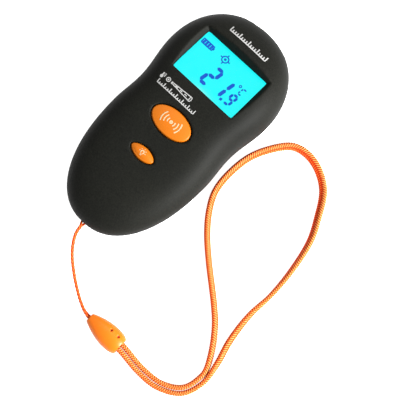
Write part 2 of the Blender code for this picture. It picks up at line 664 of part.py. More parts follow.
def cord_path():
    """Out of the bead, round the pin and back.

    The two strands leave the pin side by side, lie one over the other where the cord hangs
    free, and turn level again on their way into the bead.
    """
    bead_y = BEAD_TIP[1]
    middle = [
        (-0.1, -46.4, CORD_Z), (0.2, -49.8, CORD_Z), (0.9, -53.6, 8.5), (2.8, -57.2, 7.4),
        (6.1, -61.2, 5.5), (12.1, -66.1, 3.2), (18.8, -70.1, 3.0), (23.8, bead_y, BEAD_Z - 0.1),
        (29.2, bead_y, BEAD_Z),
    ]
    centre = smooth_path(middle, 3)
    strands = {-1: [], 1: []}
    for i, point in enumerate(centre):
        ahead = (centre[min(i + 1, len(centre) - 1)] - centre[max(i - 1, 0)]).normalized()
        side = ahead.cross(Vector((0, 0, 1))).normalized()
        spread = 0.53 + 0.77 * max(0.0, 1 - i / 3)
        turn = math.radians(80) * blend((i - 1) / 3) * blend((len(centre) - 4 - i) / 9)
        offset = spread * (math.cos(turn) * side + math.sin(turn) * side.cross(ahead))
        for hand in strands:
            strands[hand].append(point + hand * offset)
    pin = Vector((0, PIN_Y, CORD_Z))
    radius = PIN_RADIUS + GAP + CORD_RADIUS
    arc = []
    for i in range(9):
        a = math.radians(-15 + 210 * i / 8)
        arc.append(pin + radius * Vector((math.cos(a), math.sin(a), 0)))
    right, left = (strands[1], strands[-1])
    if right[0].x < left[0].x:
        right, left = left, right
    return list(reversed(right)) + arc + left


def bead_radius(share):
    """Radius of the teardrop bead at a share of its length from the tip."""
    widest, tip_share, end_fall = 0.70, 0.4, 0.42
    if share < widest:
        return BEAD_RADIUS * (tip_share + (1 - tip_share) * math.sin(math.pi / 2 * share / widest) ** 1.15)
    return BEAD_RADIUS * math.sqrt(1 - end_fall * ((share - widest) / (1 - widest)) ** 2.5)


def bead_form():
    rings = []
    steps = 10
    for i in range(steps + 1):
        share = i / steps
        radius = bead_radius(share)
        x = BEAD_LENGTH * share
        ring = []
        for k in range(16):
            a = math.tau * k / 16
            ring.append((x, radius * math.cos(a), BEAD_FLATTENING * radius * math.sin(a)))
        rings.append(ring)
    return loft(rings, triangles=True)


def tunnel(half_width, half_height, start, end):
    """An oval passage along X."""
    oval = superellipse(half_width, half_height, 2.0, 14)
    return loft([[(x, y, z) for y, z in oval] for x in (start, end)])


def make_bead(pivot):
    """Two halves clipped together round the strap's ends."""
    tip = (*BEAD_TIP, BEAD_Z)
    channel = tunnel(1.35, 0.85, -2, 5)
    chamber = block((4.0, -2.2, -1.4), (8.5, 2.2, 1.4))
    mouth = tunnel(2.75, 2.1, 7.9, BEAD_LENGTH + 2)
    for name, side in (("bead_upper", 1), ("bead_lower", -1)):
        half = add(name, bead_form(), "bead_orange", at=tip)
        low, high = sorted((side * GAP / 2, side * 9))
        keep = helper(name + "_side", block((-3, -9, low), (BEAD_LENGTH + 3, 9, high)), at=tip)
        combine(half, keep, operation="INTERSECT")
        for label, hollow in (("_channel", channel), ("_chamber", chamber), ("_mouth", mouth)):
            combine(half, helper(name + label, hollow.copy(), at=tip))
        if side > 0:
            for k in range(2):
                hole = turned([(RIVET_RADIUS, RIVET_FLOOR), (RIVET_RADIUS, 9)], 12)
                place = (tip[0] + RIVET_START + RIVET_PITCH * k, tip[1] + RIVET_SIDE, tip[2])
                combine(half, helper(f"rivet_{k}", hole, at=place))
        hang_on(half, pivot)
    for hollow in (channel, chamber, mouth):
        hollow.free()
    sleeve = add("crimp_sleeve", block((4.3, -1.9, -1.1), (7.7, 1.9, 1.1)), "steel", at=tip)
    round_edges(sleeve, 0.4, 1)
    hang_on(sleeve, pivot)


def hang_on(obj, pivot):
    """Keeps obj where it is and makes it follow the strap's pivot."""
    obj.parent = pivot
    obj.matrix_parent_inverse = Matrix.Translation(-Vector(pivot.location))


def band_rest(lean):
    """Height of the band's middle where it lies on the table, its width leaning by an angle."""
    return BAND_SEMI[0] * abs(math.sin(lean)) + BAND_SEMI[1] * abs(math.cos(lean)) + 0.1


def band_path():
    """Middle line and lean of one flat band: out of the bead, round the big loop and back."""
    near_bead = [(33.5, 1.1, BEAD_Z), (41.9, 1.1, 3.2)]  # x, distance from the bead's axis, z
    lying = [  # x, y and lean in degrees; past -90 the other face shows
        (51.4, -71.7, -84), (60.1, -70.9, -84), (66.7, -67.0, -84), (69.0, -61.0, -82),
        (68.1, -54.2, -70), (59.3, -41.4, -62), (42.6, -27.1, -62), (34.9, -19.9, -60),
        (29.5, -13.1, -58), (26.1, -6.1, -56), (25.3, 2.5, -55), (26.6, 12.0, -54),
        (30.6, 20.4, -48), (35.7, 26.3, -40), (42.2, 27.8, -32), (49.3, 25.9, -28),
        (55.6, 21.2, -32), (60.4, 13.2, -44), (64.6, 3.9, -56), (66.9, -8.4, -70),
        (67.6, -20.2, -88), (66.9, -31.2, -112), (68.0, -42.4, -124), (70.3, -51.7, -116),
        (71.3, -60.4, -94), (68.4, -68.5, -86), (60.6, -73.15, -84), (51.6, -74.0, -84),
    ]
    on_edge = math.radians(-84)
    points = [(x, BEAD_TIP[1] + off, z, on_edge) for x, off, z in near_bead]
    for x, y, degrees in lying:
        lean = math.radians(degrees)
        points.append((x, y, band_rest(lean), lean))
    points += [(x, BEAD_TIP[1] - off, z, on_edge) for x, off, z in reversed(near_bead)]
    path = smooth_path(points, 2)
    return [point.to_3d() for point in path], [point[3] for point in path]


def make_strap(pivot):
    ring = superellipse(CORD_RADIUS, CORD_RADIUS, 2.0, 6)
    hang_on(add("strap_cord", sweep(cord_path(), ring), "strap_orange"), pivot)
    path, leans = band_path()
    section = superellipse(*BAND_SEMI, 3.0, 8)
    hang_on(add("strap_band", sweep(path, section, turns=leans), "strap_orange"), pivot)
    make_bead(pivot)


def main():
    clear_scene()
    make_top_case()
    make_bottom_case()
    make_battery_cover()
    make_nose_bezel()
    make_optics()
    make_display()
    make_button("trigger_button", TRIGGER_SEMI, 2.0, TRIGGER_Y, TRIGGER_CROWN)
    make_button("backlight_button", LAMP_SEMI, LAMP_POWER, LAMP_Y, LAMP_CROWN)
    make_switch("trigger", TRIGGER_Y)
    make_switch("backlight", LAMP_Y)
    make_board()
    make_screws()
    make_cell("battery_left", -CELL_X, nub_towards_nose=False)
    make_cell("battery_right", CELL_X, nub_towards_nose=True)
    make_contacts()
    make_leads()
    make_strap_pin()
    pivot = bpy.data.objects.new("strap_pivot", None)
    pivot.location = Vector((0, PIN_Y, CORD_Z)) * MM
    bpy.context.scene.collection.objects.link(pivot)
    make_strap(pivot)


main()
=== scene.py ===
"""Looks of the pocket infrared thermometer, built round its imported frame.

Lengths are millimetres in the frame's own axes: +Y towards the sensor end, +X to the device's
right, +Z up. MM turns them into Blender's metres when a mesh is made.
"""

import json
import math

import bmesh
import bpy
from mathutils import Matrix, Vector

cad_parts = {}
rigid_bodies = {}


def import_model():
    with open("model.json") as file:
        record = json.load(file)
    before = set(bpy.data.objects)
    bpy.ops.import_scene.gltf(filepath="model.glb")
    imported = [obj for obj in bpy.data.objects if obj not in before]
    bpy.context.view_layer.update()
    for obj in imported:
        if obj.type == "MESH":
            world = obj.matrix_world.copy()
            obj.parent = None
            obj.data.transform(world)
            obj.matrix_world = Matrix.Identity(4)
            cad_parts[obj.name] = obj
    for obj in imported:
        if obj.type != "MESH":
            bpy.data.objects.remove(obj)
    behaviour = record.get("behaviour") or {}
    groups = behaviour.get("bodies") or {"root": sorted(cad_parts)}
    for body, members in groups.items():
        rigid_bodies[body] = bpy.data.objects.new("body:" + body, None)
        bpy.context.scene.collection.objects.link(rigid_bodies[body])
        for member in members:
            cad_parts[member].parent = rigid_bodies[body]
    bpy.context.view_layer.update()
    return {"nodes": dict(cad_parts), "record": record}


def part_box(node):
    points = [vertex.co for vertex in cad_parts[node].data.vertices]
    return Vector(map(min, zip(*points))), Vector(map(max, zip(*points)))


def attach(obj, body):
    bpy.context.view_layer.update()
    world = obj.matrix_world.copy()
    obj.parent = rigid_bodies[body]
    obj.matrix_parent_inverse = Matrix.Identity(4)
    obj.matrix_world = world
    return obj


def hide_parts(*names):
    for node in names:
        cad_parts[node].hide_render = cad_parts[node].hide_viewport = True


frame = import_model()

MM = 0.001
GAP = 0.3  # clearance between neighbouring pieces


def box_mm(node):
    """(lowest corner, highest corner) of a CAD node, in millimetres."""
    low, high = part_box(node)
    return low / MM, high / MM


def middle_mm(node):
    low, high = box_mm(node)
    return (low + high) / 2


# Case form: sizes from the frame where it gives them, the rest as the case was designed
CASE_LOW, CASE_HIGH = box_mm("top_case")
HALF_LENGTH = -CASE_LOW.y
HEAD_HALF_WIDTH, HEAD_Y, HEAD_POWER = CASE_HIGH.x, 22.55, 2.16
WAIST_HALF_WIDTH, WAIST_Y = 22.5, 4.25
TAIL_HALF_WIDTH, TAIL_Y, TAIL_POWER = 23.4, -8.9, 2.23
PARTING = CASE_LOW.z - GAP / 2
HEAD_CREST, TAIL_CREST, CREST_SPAN = 24.8, 21.0, 34.0
DOME_POWER, BOWL_POWER, BASE_SCALE = 5.0, 2.2, 0.6
WALL, COVER_WALL, COVER_TOP = 2.0, 1.6, 4.7
CAP_STEPS, SIDE_STEPS = 30, 22  # points round each end of the outline and down each side
OVAL_STEPS = 96  # points round a button, its hole or the nose opening
LEVEL_STEP = 0.02  # keeps rings apart where a form is cut level
OUTSIDE, CLEAR = 60.0, 2.0  # a cutter's reach past the case, and past a face

# Battery cover
COVER_HALF_WIDTH, TONGUE_TIP = box_mm("battery_cover")[1].xy
COVER_NOSE = 16.2
TONGUE_HALF_WIDTH, TONGUE_LOW, TONGUE_HIGH, TONGUE_ROOT = 2.0, 2.3, 3.0, 2.0
GRIPS, GRIP_START, GRIP_PITCH, GRIP_WIDTH, GRIP_REACH, GRIP_DEPTH = 5, -16.0, 2.6, 1.2, 7.0, 0.5

# Screws
SCREWS = [middle_mm(f"case_screw_{i}") for i in range(1, 5)]
BOSS_RADIUS, COUNTERBORE_RADIUS, PILOT_RADIUS = 3.1, 2.5, 1.4
BOSS_FOOT, COUNTERBORE_TOP, PILOT_TOP = 1.0, 4.6, 13.0
BOSS_INSET = 0.6  # how far inside the case's skin a boss or the anchor stops

# Display plane
DISPLAY_WIDTH, DISPLAY_LENGTH, DISPLAY_SKIN = 28.6, 19.1, 1.2
DISPLAY_PAD = (2.4, 2.0)  # margins of the pad of wall round the display
RECESS_TOP, RECESS_SIDE, RECESS_NOSE, RECESS_TAIL = 6.0, 1.1, 0.45, 3.0  # its walls' run per rise
DISPLAY_PITCH = math.radians(-8)
DISPLAY_AT = Vector((0.0, 23.1, 22.0))
LCD_TOP, LCD_DEPTH, LCD_MARGIN = -1.5, 1.1, 0.6  # face, from the recess floor; thickness
SEGMENT_LOW, SEGMENT_HIGH, SEGMENT_LEAN, SEGMENT_GAP = 0.04, 0.1, 0.16, 0.12

# Buttons
TRIGGER_AT, LAMP_AT = middle_mm("trigger_button"), middle_mm("backlight_button")
TRIGGER_SEMI, TRIGGER_POWER = (8.55, 4.9), 2.0
LAMP_SEMI, LAMP_POWER = (5.2, 2.4), 1.8
TRIGGER_TOP, LAMP_TOP = box_mm("trigger_button")[1].z, box_mm("backlight_button")[1].z
BUTTON_FOOT = box_mm("trigger_button")[0].z
BUTTON_DOME, CROWN_POWER, ROUNDING = 0.6, 2.6, 0.65  # the face's rise, its curve and its rim
FLANGE_REACH, FLANGE_RIM, FLANGE_TOP, SHOULDER = 0.8, 0.55, 0.6, 1.5
HOLE_LOW, HOLE_HIGH = 15.0, 28.0  # levels of the cutter for a button's hole

# Nose
NOSE_OPENING, OPENING_POWER, OPENING_Z, OPTICS_Z = (11.6, 5.2), 2.6, 11.0, 10.6
LENS_AT, LASER_AT = middle_mm("infrared_lens"), middle_mm("laser_lens")
BEZEL_BACK, BEZEL_SINK, BEZEL_REACH = box_mm("nose_bezel")[0].y, 0.15, 9.0
LENS_RADIUS, LENS_RIM, GROOVE_CREST, GROOVE_FLOOR = 3.4, 0.6, 0.95, 0.62
GROOVES, GROOVE_START, GROOVE_PITCH, GROOVE_EDGE, GROOVE_RUN = 7, 3.2, 0.4, 0.05, 0.36

# Strap
PIN_AT, PIN_RADIUS, PIN_HOLE, PIN_FOOT, PIN_TOP = middle_mm("strap_pin"), 0.8, 1.1, 6.2, 12.0
SLOT_LOW, SLOT_HIGH = 7.3, 10.5
ANCHOR_HALF_WIDTH, ANCHOR_TAIL, ANCHOR_NOSE, ANCHOR_FOOT = 5.0, 3.3, 4.0, 5.6
CORD_RADIUS, CORD_Z, CORD_SPACING, CORD_STEPS = 0.5, 8.9, 0.25, 12
CORD_LOBES, CORD_TWIST, CORD_LOBE_DEPTH, CORD_LIT_SHARE = 3, 1.5, 0.07, 0.35
CORD_STACKING = math.radians(80)  # how far one strand climbs over the other
BEAD_TIP, BEAD_LENGTH, BEAD_RADIUS, BEAD_Z = (25.3, -71.8), 15.4, 4.4, 3.5
BEAD_FLATTENING, BEAD_SEAM = 0.78, 0.12
RIVET_START, RIVET_PITCH, RIVET_SIDE, RIVET_FLOOR, RIVET_HOLE = 9.2, 3.4, 2.3, 5.7, 0.55
BAND_SEMI, BAND_POWER, BAND_SPACING, BAND_STEPS = (1.6, 1.0), 2.8, 0.12, 20
BAND_SHRINK = 0.05  # the braid's yarns stand proud of a slightly smaller core
ON_EDGE = -91  # the band's lean in degrees where it stands on its edge; past -90 its other face shows
PAINTED_LIGHT_SIDE = Vector((0.72, 0.69, 0.25))  # painted light: a face turned this way is painted palest, as if lit from this side; faces turned away keep a painted shaded red

# Printed marks
PRINT_LIFT, PRINT_THICKNESS = 0.02, 0.06

VOXEL = 0.42  # remeshing grid
WHITE = (1.0, 1.0, 1.0, 1.0)
FLOOR_GLOW, FLOOR_REACH, SKY_GLOW = 0.95, 1500, 0.55  # the floor's glow keeps its shadows faint


# Mesh helpers


def add(name, bm, finish=None, at=(0, 0, 0), turn=(0, 0, 0), angle=40):
    """Makes an object from a bmesh in millimetres, which it frees."""
    bmesh.ops.scale(bm, vec=(MM, MM, MM), verts=bm.verts)
    bmesh.ops.recalc_face_normals(bm, faces=bm.faces)
    mesh = bpy.data.meshes.new(name)
    bm.to_mesh(mesh)
    bm.free()
    obj = bpy.data.objects.new(name, mesh)
    obj.location = Vector(at) * MM
    obj.rotation_euler = turn
    if finish:
        mesh.materials.append(finish)
    mesh.shade_smooth()
    mesh.set_sharp_from_angle(angle=math.radians(angle))
    bpy.context.scene.collection.objects.link(obj)
    return obj


def helper(name, bm, at=(0, 0, 0), turn=(0, 0, 0)):
    obj = add("helper_" + name, bm, at=at, turn=turn)
    obj.hide_render = True
    return obj


def combine(target, *others, operation="DIFFERENCE"):
    for other in others:
        step = target.modifiers.new(other.name, "BOOLEAN")
        step.operation = operation
        step.object = other
        step.solver = "EXACT"
    return target


def soften(obj, voxel=VOXEL, rounds=3):
    """Remeshes a cut solid finely and relaxes it, which rounds its edges as moulding does."""
    remesh = obj.modifiers.new("fine", "REMESH")
    remesh.mode = "VOXEL"
    remesh.voxel_size = voxel * MM
    remesh.use_smooth_shade = True
    relax = obj.modifiers.new("relax", "SMOOTH")
    relax.factor = 0.5
    relax.iterations = rounds
    settle(obj)
    obj.data.shade_smooth()
    return obj


def settle(obj):
    """Applies an object's modifiers."""
    graph = bpy.context.evaluated_depsgraph_get()
    mesh = bpy.data.meshes.new_from_object(obj.evaluated_get(graph))
    obj.modifiers.clear()
    obj.data = mesh


def drop_helpers():
    for obj in list(bpy.data.objects):
        if obj.name.startswith("helper_"):
            bpy.data.objects.remove(obj, do_unlink=True)


def piece(obj, body, slot, *stands_for):
    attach(obj, body)
    if stands_for:
        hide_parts(*stands_for)
    return obj


# Shapes, in millimetres


def loft(rings, triangles=False):
    """Joins rings of equally many points and caps both ends."""
    bm = bmesh.new()
    loops = [[bm.verts.new(point) for point in ring] for ring in rings]
    for near, far in zip(loops, loops[1:]):
        for i, vertex in enumerate(near):
            j = (i + 1) % len(near)
            bm.faces.new((vertex, near[j], far[j], far[i]))
    bm.faces.new(reversed(loops[0]))
    bm.faces.new(loops[-1])
    if triangles:
        bmesh.ops.triangulate(bm, faces=bm.faces)
    return bm


def block(low, high):
    bm = bmesh.new()
    bmesh.ops.create_cube(bm, size=1.0)
    centre = (Vector(low) + Vector(high)) / 2
    size = Vector(high) - Vector(low)
    for vertex in bm.verts:
        vertex.co = centre + Vector([a * b for a, b in zip(vertex.co, size)])
    return bm


def turned(profile, segments):
    """A shape turned about Z from (radius, height) points."""
    rings = []
    for radius, height in profile:
        angles = [math.tau * i / segments for i in range(segments)]
        rings.append([(radius * math.cos(a), radius * math.sin(a), height) for a in angles])
    return loft(rings)


def arc(x, y, radius, start, end, steps):
    """Points round a circle between two angles in degrees."""
    angles = [math.radians(start + (end - start) * i / steps) for i in range(steps + 1)]
    return [(x + radius * math.cos(a), y + radius * math.sin(a)) for a in angles]


def superellipse(semi_x, semi_y, power, count):
    points = []
    for i in range(count):
        a = math.tau * i / count
        c, s = math.cos(a), math.sin(a)
        x = semi_x * math.copysign(abs(c) ** (2 / power), c)
        y = semi_y * math.copysign(abs(s) ** (2 / power), s)
        points.append((x, y))
    return points


def prism(points, low, high):
    return loft([[(x, y, z) for x, y in points] for z in (low, high)])


def rectangle(left, tail, right, nose, z):
    return [(left, tail, z), (right, tail, z), (right, nose, z), (left, nose, z)]


def smooth_path(points, steps):
    """A Catmull-Rom curve through the points, with the given steps in each span."""
    points = [Vector(point) for point in points]
    ends = [2 * points[0] - points[1]] + points + [2 * points[-1] - points[-2]]
    path = []
    for before, start, end, after in zip(ends, ends[1:], ends[2:], ends[3:]):
        for i in range(steps):
            t = i / steps
            path.append(
                0.5 * (2 * start + (end - before) * t)
                + 0.5 * (2 * before - 5 * start + 4 * end - after) * t**2
                + 0.5 * (3 * start - before - 3 * end + after) * t**3
            )
    return path + [points[-1]]


def even_path(path, spacing):
    """The same path with its points a set distance apart."""
    out, carried = [path[0]], 0.0
    for near, far in zip(path, path[1:]):
        length = (far - near).length
        while carried + length >= spacing:
            step = (spacing - carried) / length
            near = near.lerp(far, step)
            length = (far - near).length
            out.append(near)
            carried = 0.0
        carried += length
    return out


def sweep(path, section):
    """Carries section(i), a list of (across, along up) points, down a path and caps its ends."""
    rings = []
    for i, point in enumerate(path):
        ahead = (path[min(i + 1, len(path) - 1)] - path[max(i - 1, 0)]).normalized()
        side = ahead.cross(Vector((0, 0, 1))).normalized()
        rise = side.cross(ahead)
        rings.append([point + u * side + v * rise for u, v in section(i)])
    return loft(rings)


# The case's form


def blend(t):
    """Eases from 0 to 1."""
    return 0.5 - 0.5 * math.cos(math.pi * min(max(t, 0.0), 1.0))


def side_half_width(y):
    if y > WAIST_Y:
        share = blend((y - WAIST_Y) / (HEAD_Y - WAIST_Y))
        return WAIST_HALF_WIDTH + (HEAD_HALF_WIDTH - WAIST_HALF_WIDTH) * share
    share = blend((WAIST_Y - y) / (WAIST_Y - TAIL_Y))
    return WAIST_HALF_WIDTH + (TAIL_HALF_WIDTH - WAIST_HALF_WIDTH) * share


def outline(inset):
    """The case's outline seen from above, counter-clockwise from the nose, moved in by inset."""
    left = []
    for step in range(CAP_STEPS):
        a = math.pi / 2 * step / CAP_STEPS
        x = (HEAD_HALF_WIDTH - inset) * math.sin(a) ** (2 / HEAD_POWER)
        y = HEAD_Y + (HALF_LENGTH - inset - HEAD_Y) * math.cos(a) ** (2 / HEAD_POWER)
        left.append((-x, y))
    for step in range(SIDE_STEPS):
        y = HEAD_Y + (TAIL_Y - HEAD_Y) * step / SIDE_STEPS
        left.append((-(side_half_width(y) - inset), y))
    for step in range(CAP_STEPS + 1):
        a = math.pi / 2 * step / CAP_STEPS
        x = (TAIL_HALF_WIDTH - inset) * max(math.cos(a), 0.0) ** (2 / TAIL_POWER)
        y = TAIL_Y - (HALF_LENGTH - inset + TAIL_Y) * math.sin(a) ** (2 / TAIL_POWER)
        left.append((-x, y))
    right = [(-x, y) for x, y in reversed(left[1:-1])]
    return left + right


def crest(y):
    """Height of the case along its middle line."""
    return TAIL_CREST + (HEAD_CREST - TAIL_CREST) * blend((y + CREST_SPAN) / (2 * CREST_SPAN))


def half_width(y):
    """Half the outline's width at a place along the case."""
    if y >= HEAD_Y:
        reach = min((y - HEAD_Y) / (HALF_LENGTH - HEAD_Y), 1.0)
        return HEAD_HALF_WIDTH * (1 - reach**HEAD_POWER) ** (1 / HEAD_POWER)
    if y <= TAIL_Y:
        reach = min((TAIL_Y - y) / (HALF_LENGTH + TAIL_Y), 1.0)
        return TAIL_HALF_WIDTH * (1 - reach**TAIL_POWER) ** (1 / TAIL_POWER)
    return side_half_width(y)


def case_height(x, y):
    """Height of the case's top skin over a point."""
    low, high = 0.0, 1.0
    for _ in range(30):  # the scale of the outline that passes through the point
        scale = (low + high) / 2
        inside = abs(y) < scale * HALF_LENGTH and abs(x) < scale * half_width(y / scale)
        low, high = (low, scale) if inside else (scale, high)
    return PARTING + (crest(y) - PARTING) * math.sqrt(max(1 - high**DOME_POWER, 0.0))


def dome(inset, floor, steps=22):
    """The case's upper form, moved in by inset and cut level at floor."""
    edge = outline(inset)
    rings = [[(x, y, floor) for x, y in edge]]
    for step in range(steps):
        a = math.pi / 2 * step / steps
        scale = math.cos(a) ** (2 / DOME_POWER)
        ring = []
        for x, y in edge:
            height = (crest(y * scale) - PARTING - inset) * math.sin(a)
            ring.append((x * scale, y * scale, max(PARTING + height, floor + LEVEL_STEP)))
        rings.append(ring)
    for scale in (0.24, 0.1):  # the crown, inside the last of the steps
        rings.append([(x * scale, y * scale, crest(y * scale) - inset) for x, y in edge])
    return loft(rings, triangles=True)


def bowl(inset, ceiling, steps=16):
    """The case's lower form, moved in by inset and cut level at ceiling."""
    edge = outline(inset)
    rings = []
    for step in range(steps + 1):
        a = math.pi / 2 * step / steps
        scale = BASE_SCALE + (1 - BASE_SCALE) * math.sin(a) ** (2 / BOWL_POWER)
        height = min(inset + (PARTING - inset) * (1 - math.cos(a)), ceiling - LEVEL_STEP)
        rings.append([(x * scale, y * scale, height) for x, y in edge])
    rings.append([(x, y, ceiling) for x, y in edge])
    return loft(rings, triangles=True)


def on_display():
    return {"at": DISPLAY_AT, "turn": (DISPLAY_PITCH, 0, 0)}


def display_block(margin_x, margin_y, low, high):
    """A block in the display's plane that reaches past the display by the margins."""
    x, y = DISPLAY_WIDTH / 2 + margin_x, DISPLAY_LENGTH / 2 + margin_y
    return block((-x, -y, low), (x, y, high))


def facing_nose(x, y, z):
    return {"at": (x, y, z), "turn": (-math.pi / 2, 0, 0)}


def post(x, y, radius, low, high, name):
    """A helper cylinder that stands at x, y."""
    return helper(name, turned([(radius, low), (radius, high)], 24), at=(x, y, 0))


# Materials


def set_sockets(node, **values):
    """Sets constants on a node's sockets; an underscore stands for a space in a socket's name."""
    for socket, value in values.items():
        node.inputs[socket.replace("_", " ")].default_value = value


def shader_of(name, colour, roughness, **more):
    """A new material and its Principled shader."""
    made = bpy.data.materials.new(name)
    made.use_nodes = True
    shader = made.node_tree.nodes["Principled BSDF"]
    set_sockets(shader, Base_Color=(*colour, 1.0), Roughness=roughness, **more)
    return made, shader


def new_node(tree, kind, **values):
    made = tree.nodes.new("ShaderNode" + kind)
    set_sockets(made, **values)
    return made


def in_object(tree, texture):
    """Lays a texture out in object coordinates."""
    place = new_node(tree, "TexCoord")
    tree.links.new(place.outputs["Object"], texture.inputs["Vector"])
    return texture


def noise(tree, scale, detail, roughness=0.5):
    """Noise with scale features per metre."""
    return in_object(tree, new_node(tree, "TexNoise", Scale=scale, Detail=detail, Roughness=roughness))


def ramp(tree, source, stops):
    """Colours for a 0 to 1 value; stops are (place, colour)."""
    made = new_node(tree, "ValToRGB")
    band = made.color_ramp
    while len(band.elements) < len(stops):
        band.elements.new(0.5)
    for element, (place, colour) in zip(band.elements, stops):
        element.position = place
        element.color = (*colour, 1.0)
    tree.links.new(source, made.inputs["Fac"])
    return made


def mix(tree, first, second, blend_type="MIX"):
    """Mixes two nodes' colours, fully unless something is linked to its Factor."""
    made = new_node(tree, "Mix")
    made.data_type, made.blend_type = "RGBA", blend_type
    set_sockets(made, Factor=1.0)
    tree.links.new(first.outputs["Color"], made.inputs["A"])
    tree.links.new(second.outputs["Color"], made.inputs["B"])
    return made


def bump(tree, source, shader, distance, strength):
    made = new_node(tree, "Bump", Distance=distance * MM, Strength=strength)
    tree.links.new(source, made.inputs["Height"])
    tree.links.new(made.outputs["Normal"], shader.inputs["Normal"])


def soft_touch_black():
    """Rubberised coating: a fine speckled grain with slow, faint changes of shade."""
    made, shader = shader_of("soft_touch_black", (0.008, 0.008, 0.007), 0.6, Specular_IOR_Level=0.1)
    tree = made.node_tree
    grain = noise(tree, 2600, 2.0, 0.6)
    speckle = ramp(tree, grain.outputs["Fac"], [
        (0.3, (0.0024, 0.0026, 0.0019)), (0.72, (0.0100, 0.0103, 0.0078))])
    drift = noise(tree, 45, 2.0)
    shade = ramp(tree, drift.outputs["Fac"], [(0.35, (0.82, 0.83, 0.84)), (0.7, (1.0, 1.0, 0.98))])
    shaded = mix(tree, speckle, shade, "MULTIPLY")
    tree.links.new(shaded.outputs["Result"], shader.inputs["Base Color"])
    rough = new_node(tree, "MapRange", To_Min=0.54, To_Max=0.68)
    tree.links.new(grain.outputs["Fac"], rough.inputs["Value"])
    tree.links.new(rough.outputs["Result"], shader.inputs["Roughness"])
    bump(tree, grain.outputs["Fac"], shader, 0.05, 0.5)
    return made


def moulded(name, colour, roughness, depth=0.02, spread=0.12, **more):
    """Injection-moulded plastic: a slight mottle in colour and a fine moulding texture."""
    made, shader = shader_of(name, colour, roughness, **more)
    tree = made.node_tree
    mottle = noise(tree, 160, 3.0)
    darker = tuple(c * (1 - spread) for c in colour)
    tint = ramp(tree, mottle.outputs["Fac"], [(0.3, darker), (0.7, colour)])
    tree.links.new(tint.outputs["Color"], shader.inputs["Base Color"])
    bump(tree, noise(tree, 900, 2.0).outputs["Fac"], shader, depth, 0.4)
    return made


def metal(name, colour, roughness):
    """Metal with a fine grain."""
    made, shader = shader_of(name, colour, roughness, Metallic=1.0)
    tree = made.node_tree
    brushed = noise(tree, 700, 5.0, 0.7)
    darker = tuple(c * 0.8 for c in colour)
    tint = ramp(tree, brushed.outputs["Fac"], [(0.3, darker), (0.7, colour)])
    tree.links.new(tint.outputs["Color"], shader.inputs["Base Color"])
    bump(tree, brushed.outputs["Fac"], shader, 0.02, 0.3)
    return made


def circuit_board():
    """Green solder mask with paler tracks."""
    made, shader = shader_of("board_green", (0.02, 0.2, 0.07), 0.35)
    tree = made.node_tree
    tracks = in_object(tree, new_node(tree, "TexBrick", Scale=220.0, Mortar_Size=0.06))
    set_sockets(tracks, Color1=(0.015, 0.16, 0.055, 1), Color2=(0.02, 0.2, 0.07, 1))
    set_sockets(tracks, Mortar=(0.06, 0.34, 0.14, 1))
    tree.links.new(tracks.outputs["Color"], shader.inputs["Base Color"])
    return made


def glowing(name, colour):
    """A lit part of the display."""
    made, shader = shader_of(name, (0.0, 0.01, 0.02), 0.4, Specular_IOR_Level=0.2)
    set_sockets(shader, Emission_Color=(*colour, 1.0), Emission_Strength=1.0)
    return made, shader


def lcd_backlight():
    """Cyan backlight, paler where its lamp sits behind the middle of the tail-side edge."""
    made, shader = glowing("lcd_cyan", (0.013, 1.0, 1.0))
    tree = made.node_tree
    scaled = in_object(tree, new_node(tree, "Mapping"))
    scaled.vector_type = "TEXTURE"
    set_sockets(scaled, Location=(0.0, -DISPLAY_LENGTH / 2 * MM, LCD_TOP * MM))
    set_sockets(scaled, Scale=(10.0 * MM, 3.2 * MM, 10.0 * MM))
    glow = new_node(tree, "TexGradient")
    glow.gradient_type = "SPHERICAL"
    tree.links.new(scaled.outputs["Vector"], glow.inputs["Vector"])
    tint = ramp(tree, glow.outputs["Fac"], [
        (0.0, (0.013, 1.0, 1.0)), (0.45, (0.03, 1.0, 0.98)), (1.0, (0.2, 1.0, 0.92))])
    tree.links.new(tint.outputs["Color"], shader.inputs["Emission Color"])
    return made


def stored(tree, name):
    """The value that store_values gave each vertex."""
    made = new_node(tree, "Attribute")
    made.attribute_name = name
    return made.outputs["Fac"]


def braid():
    """Yarn with painted light: the rib value, low in the grooves and high on the crests, paints the grooves
    darker (painted shade) and the crests paler (painted highlight); the facing value, 1 where a face is
    painted as lit, mixes the painted lit and painted shaded colours.
    """
    made, shader = shader_of("strap_orange", (0.9, 0.12, 0.01), 0.7, Specular_IOR_Level=0.12)
    tree = made.node_tree
    fibres = noise(tree, 1500, 3.0, 0.7)
    added = new_node(tree, "Math")
    added.operation = "MULTIPLY_ADD"
    added.inputs[1].default_value = 0.5
    tree.links.new(fibres.outputs["Fac"], added.inputs[0])
    tree.links.new(stored(tree, "weave_shade"), added.inputs[2])
    # painted shade: the yarn colour for faces painted as in shade, darkest in the grooves
    shaded_yarn = ramp(tree, added.outputs["Value"], [
        (0.3, (0.30, 0.006, 0.001)), (0.55, (0.58, 0.034, 0.003)),
        (0.8, (0.78, 0.080, 0.005)), (1.0, (0.85, 0.20, 0.03))])
    # painted light: the yarn colour for faces painted as lit, palest on the crests as a painted highlight
    lit_yarn = ramp(tree, added.outputs["Value"], [
        (0.3, (0.20, 0.008, 0.001)), (0.55, (0.37, 0.065, 0.005)),
        (0.8, (0.45, 0.21, 0.025)), (1.0, (0.52, 0.38, 0.15))])
    tint = mix(tree, shaded_yarn, lit_yarn)
    # the mix follows how far each face is painted as lit
    tree.links.new(stored(tree, "painted_light"), tint.inputs["Factor"])
    tree.links.new(tint.outputs["Result"], shader.inputs["Base Color"])
    bump(tree, fibres.outputs["Fac"], shader, 0.06, 0.6)
    return made


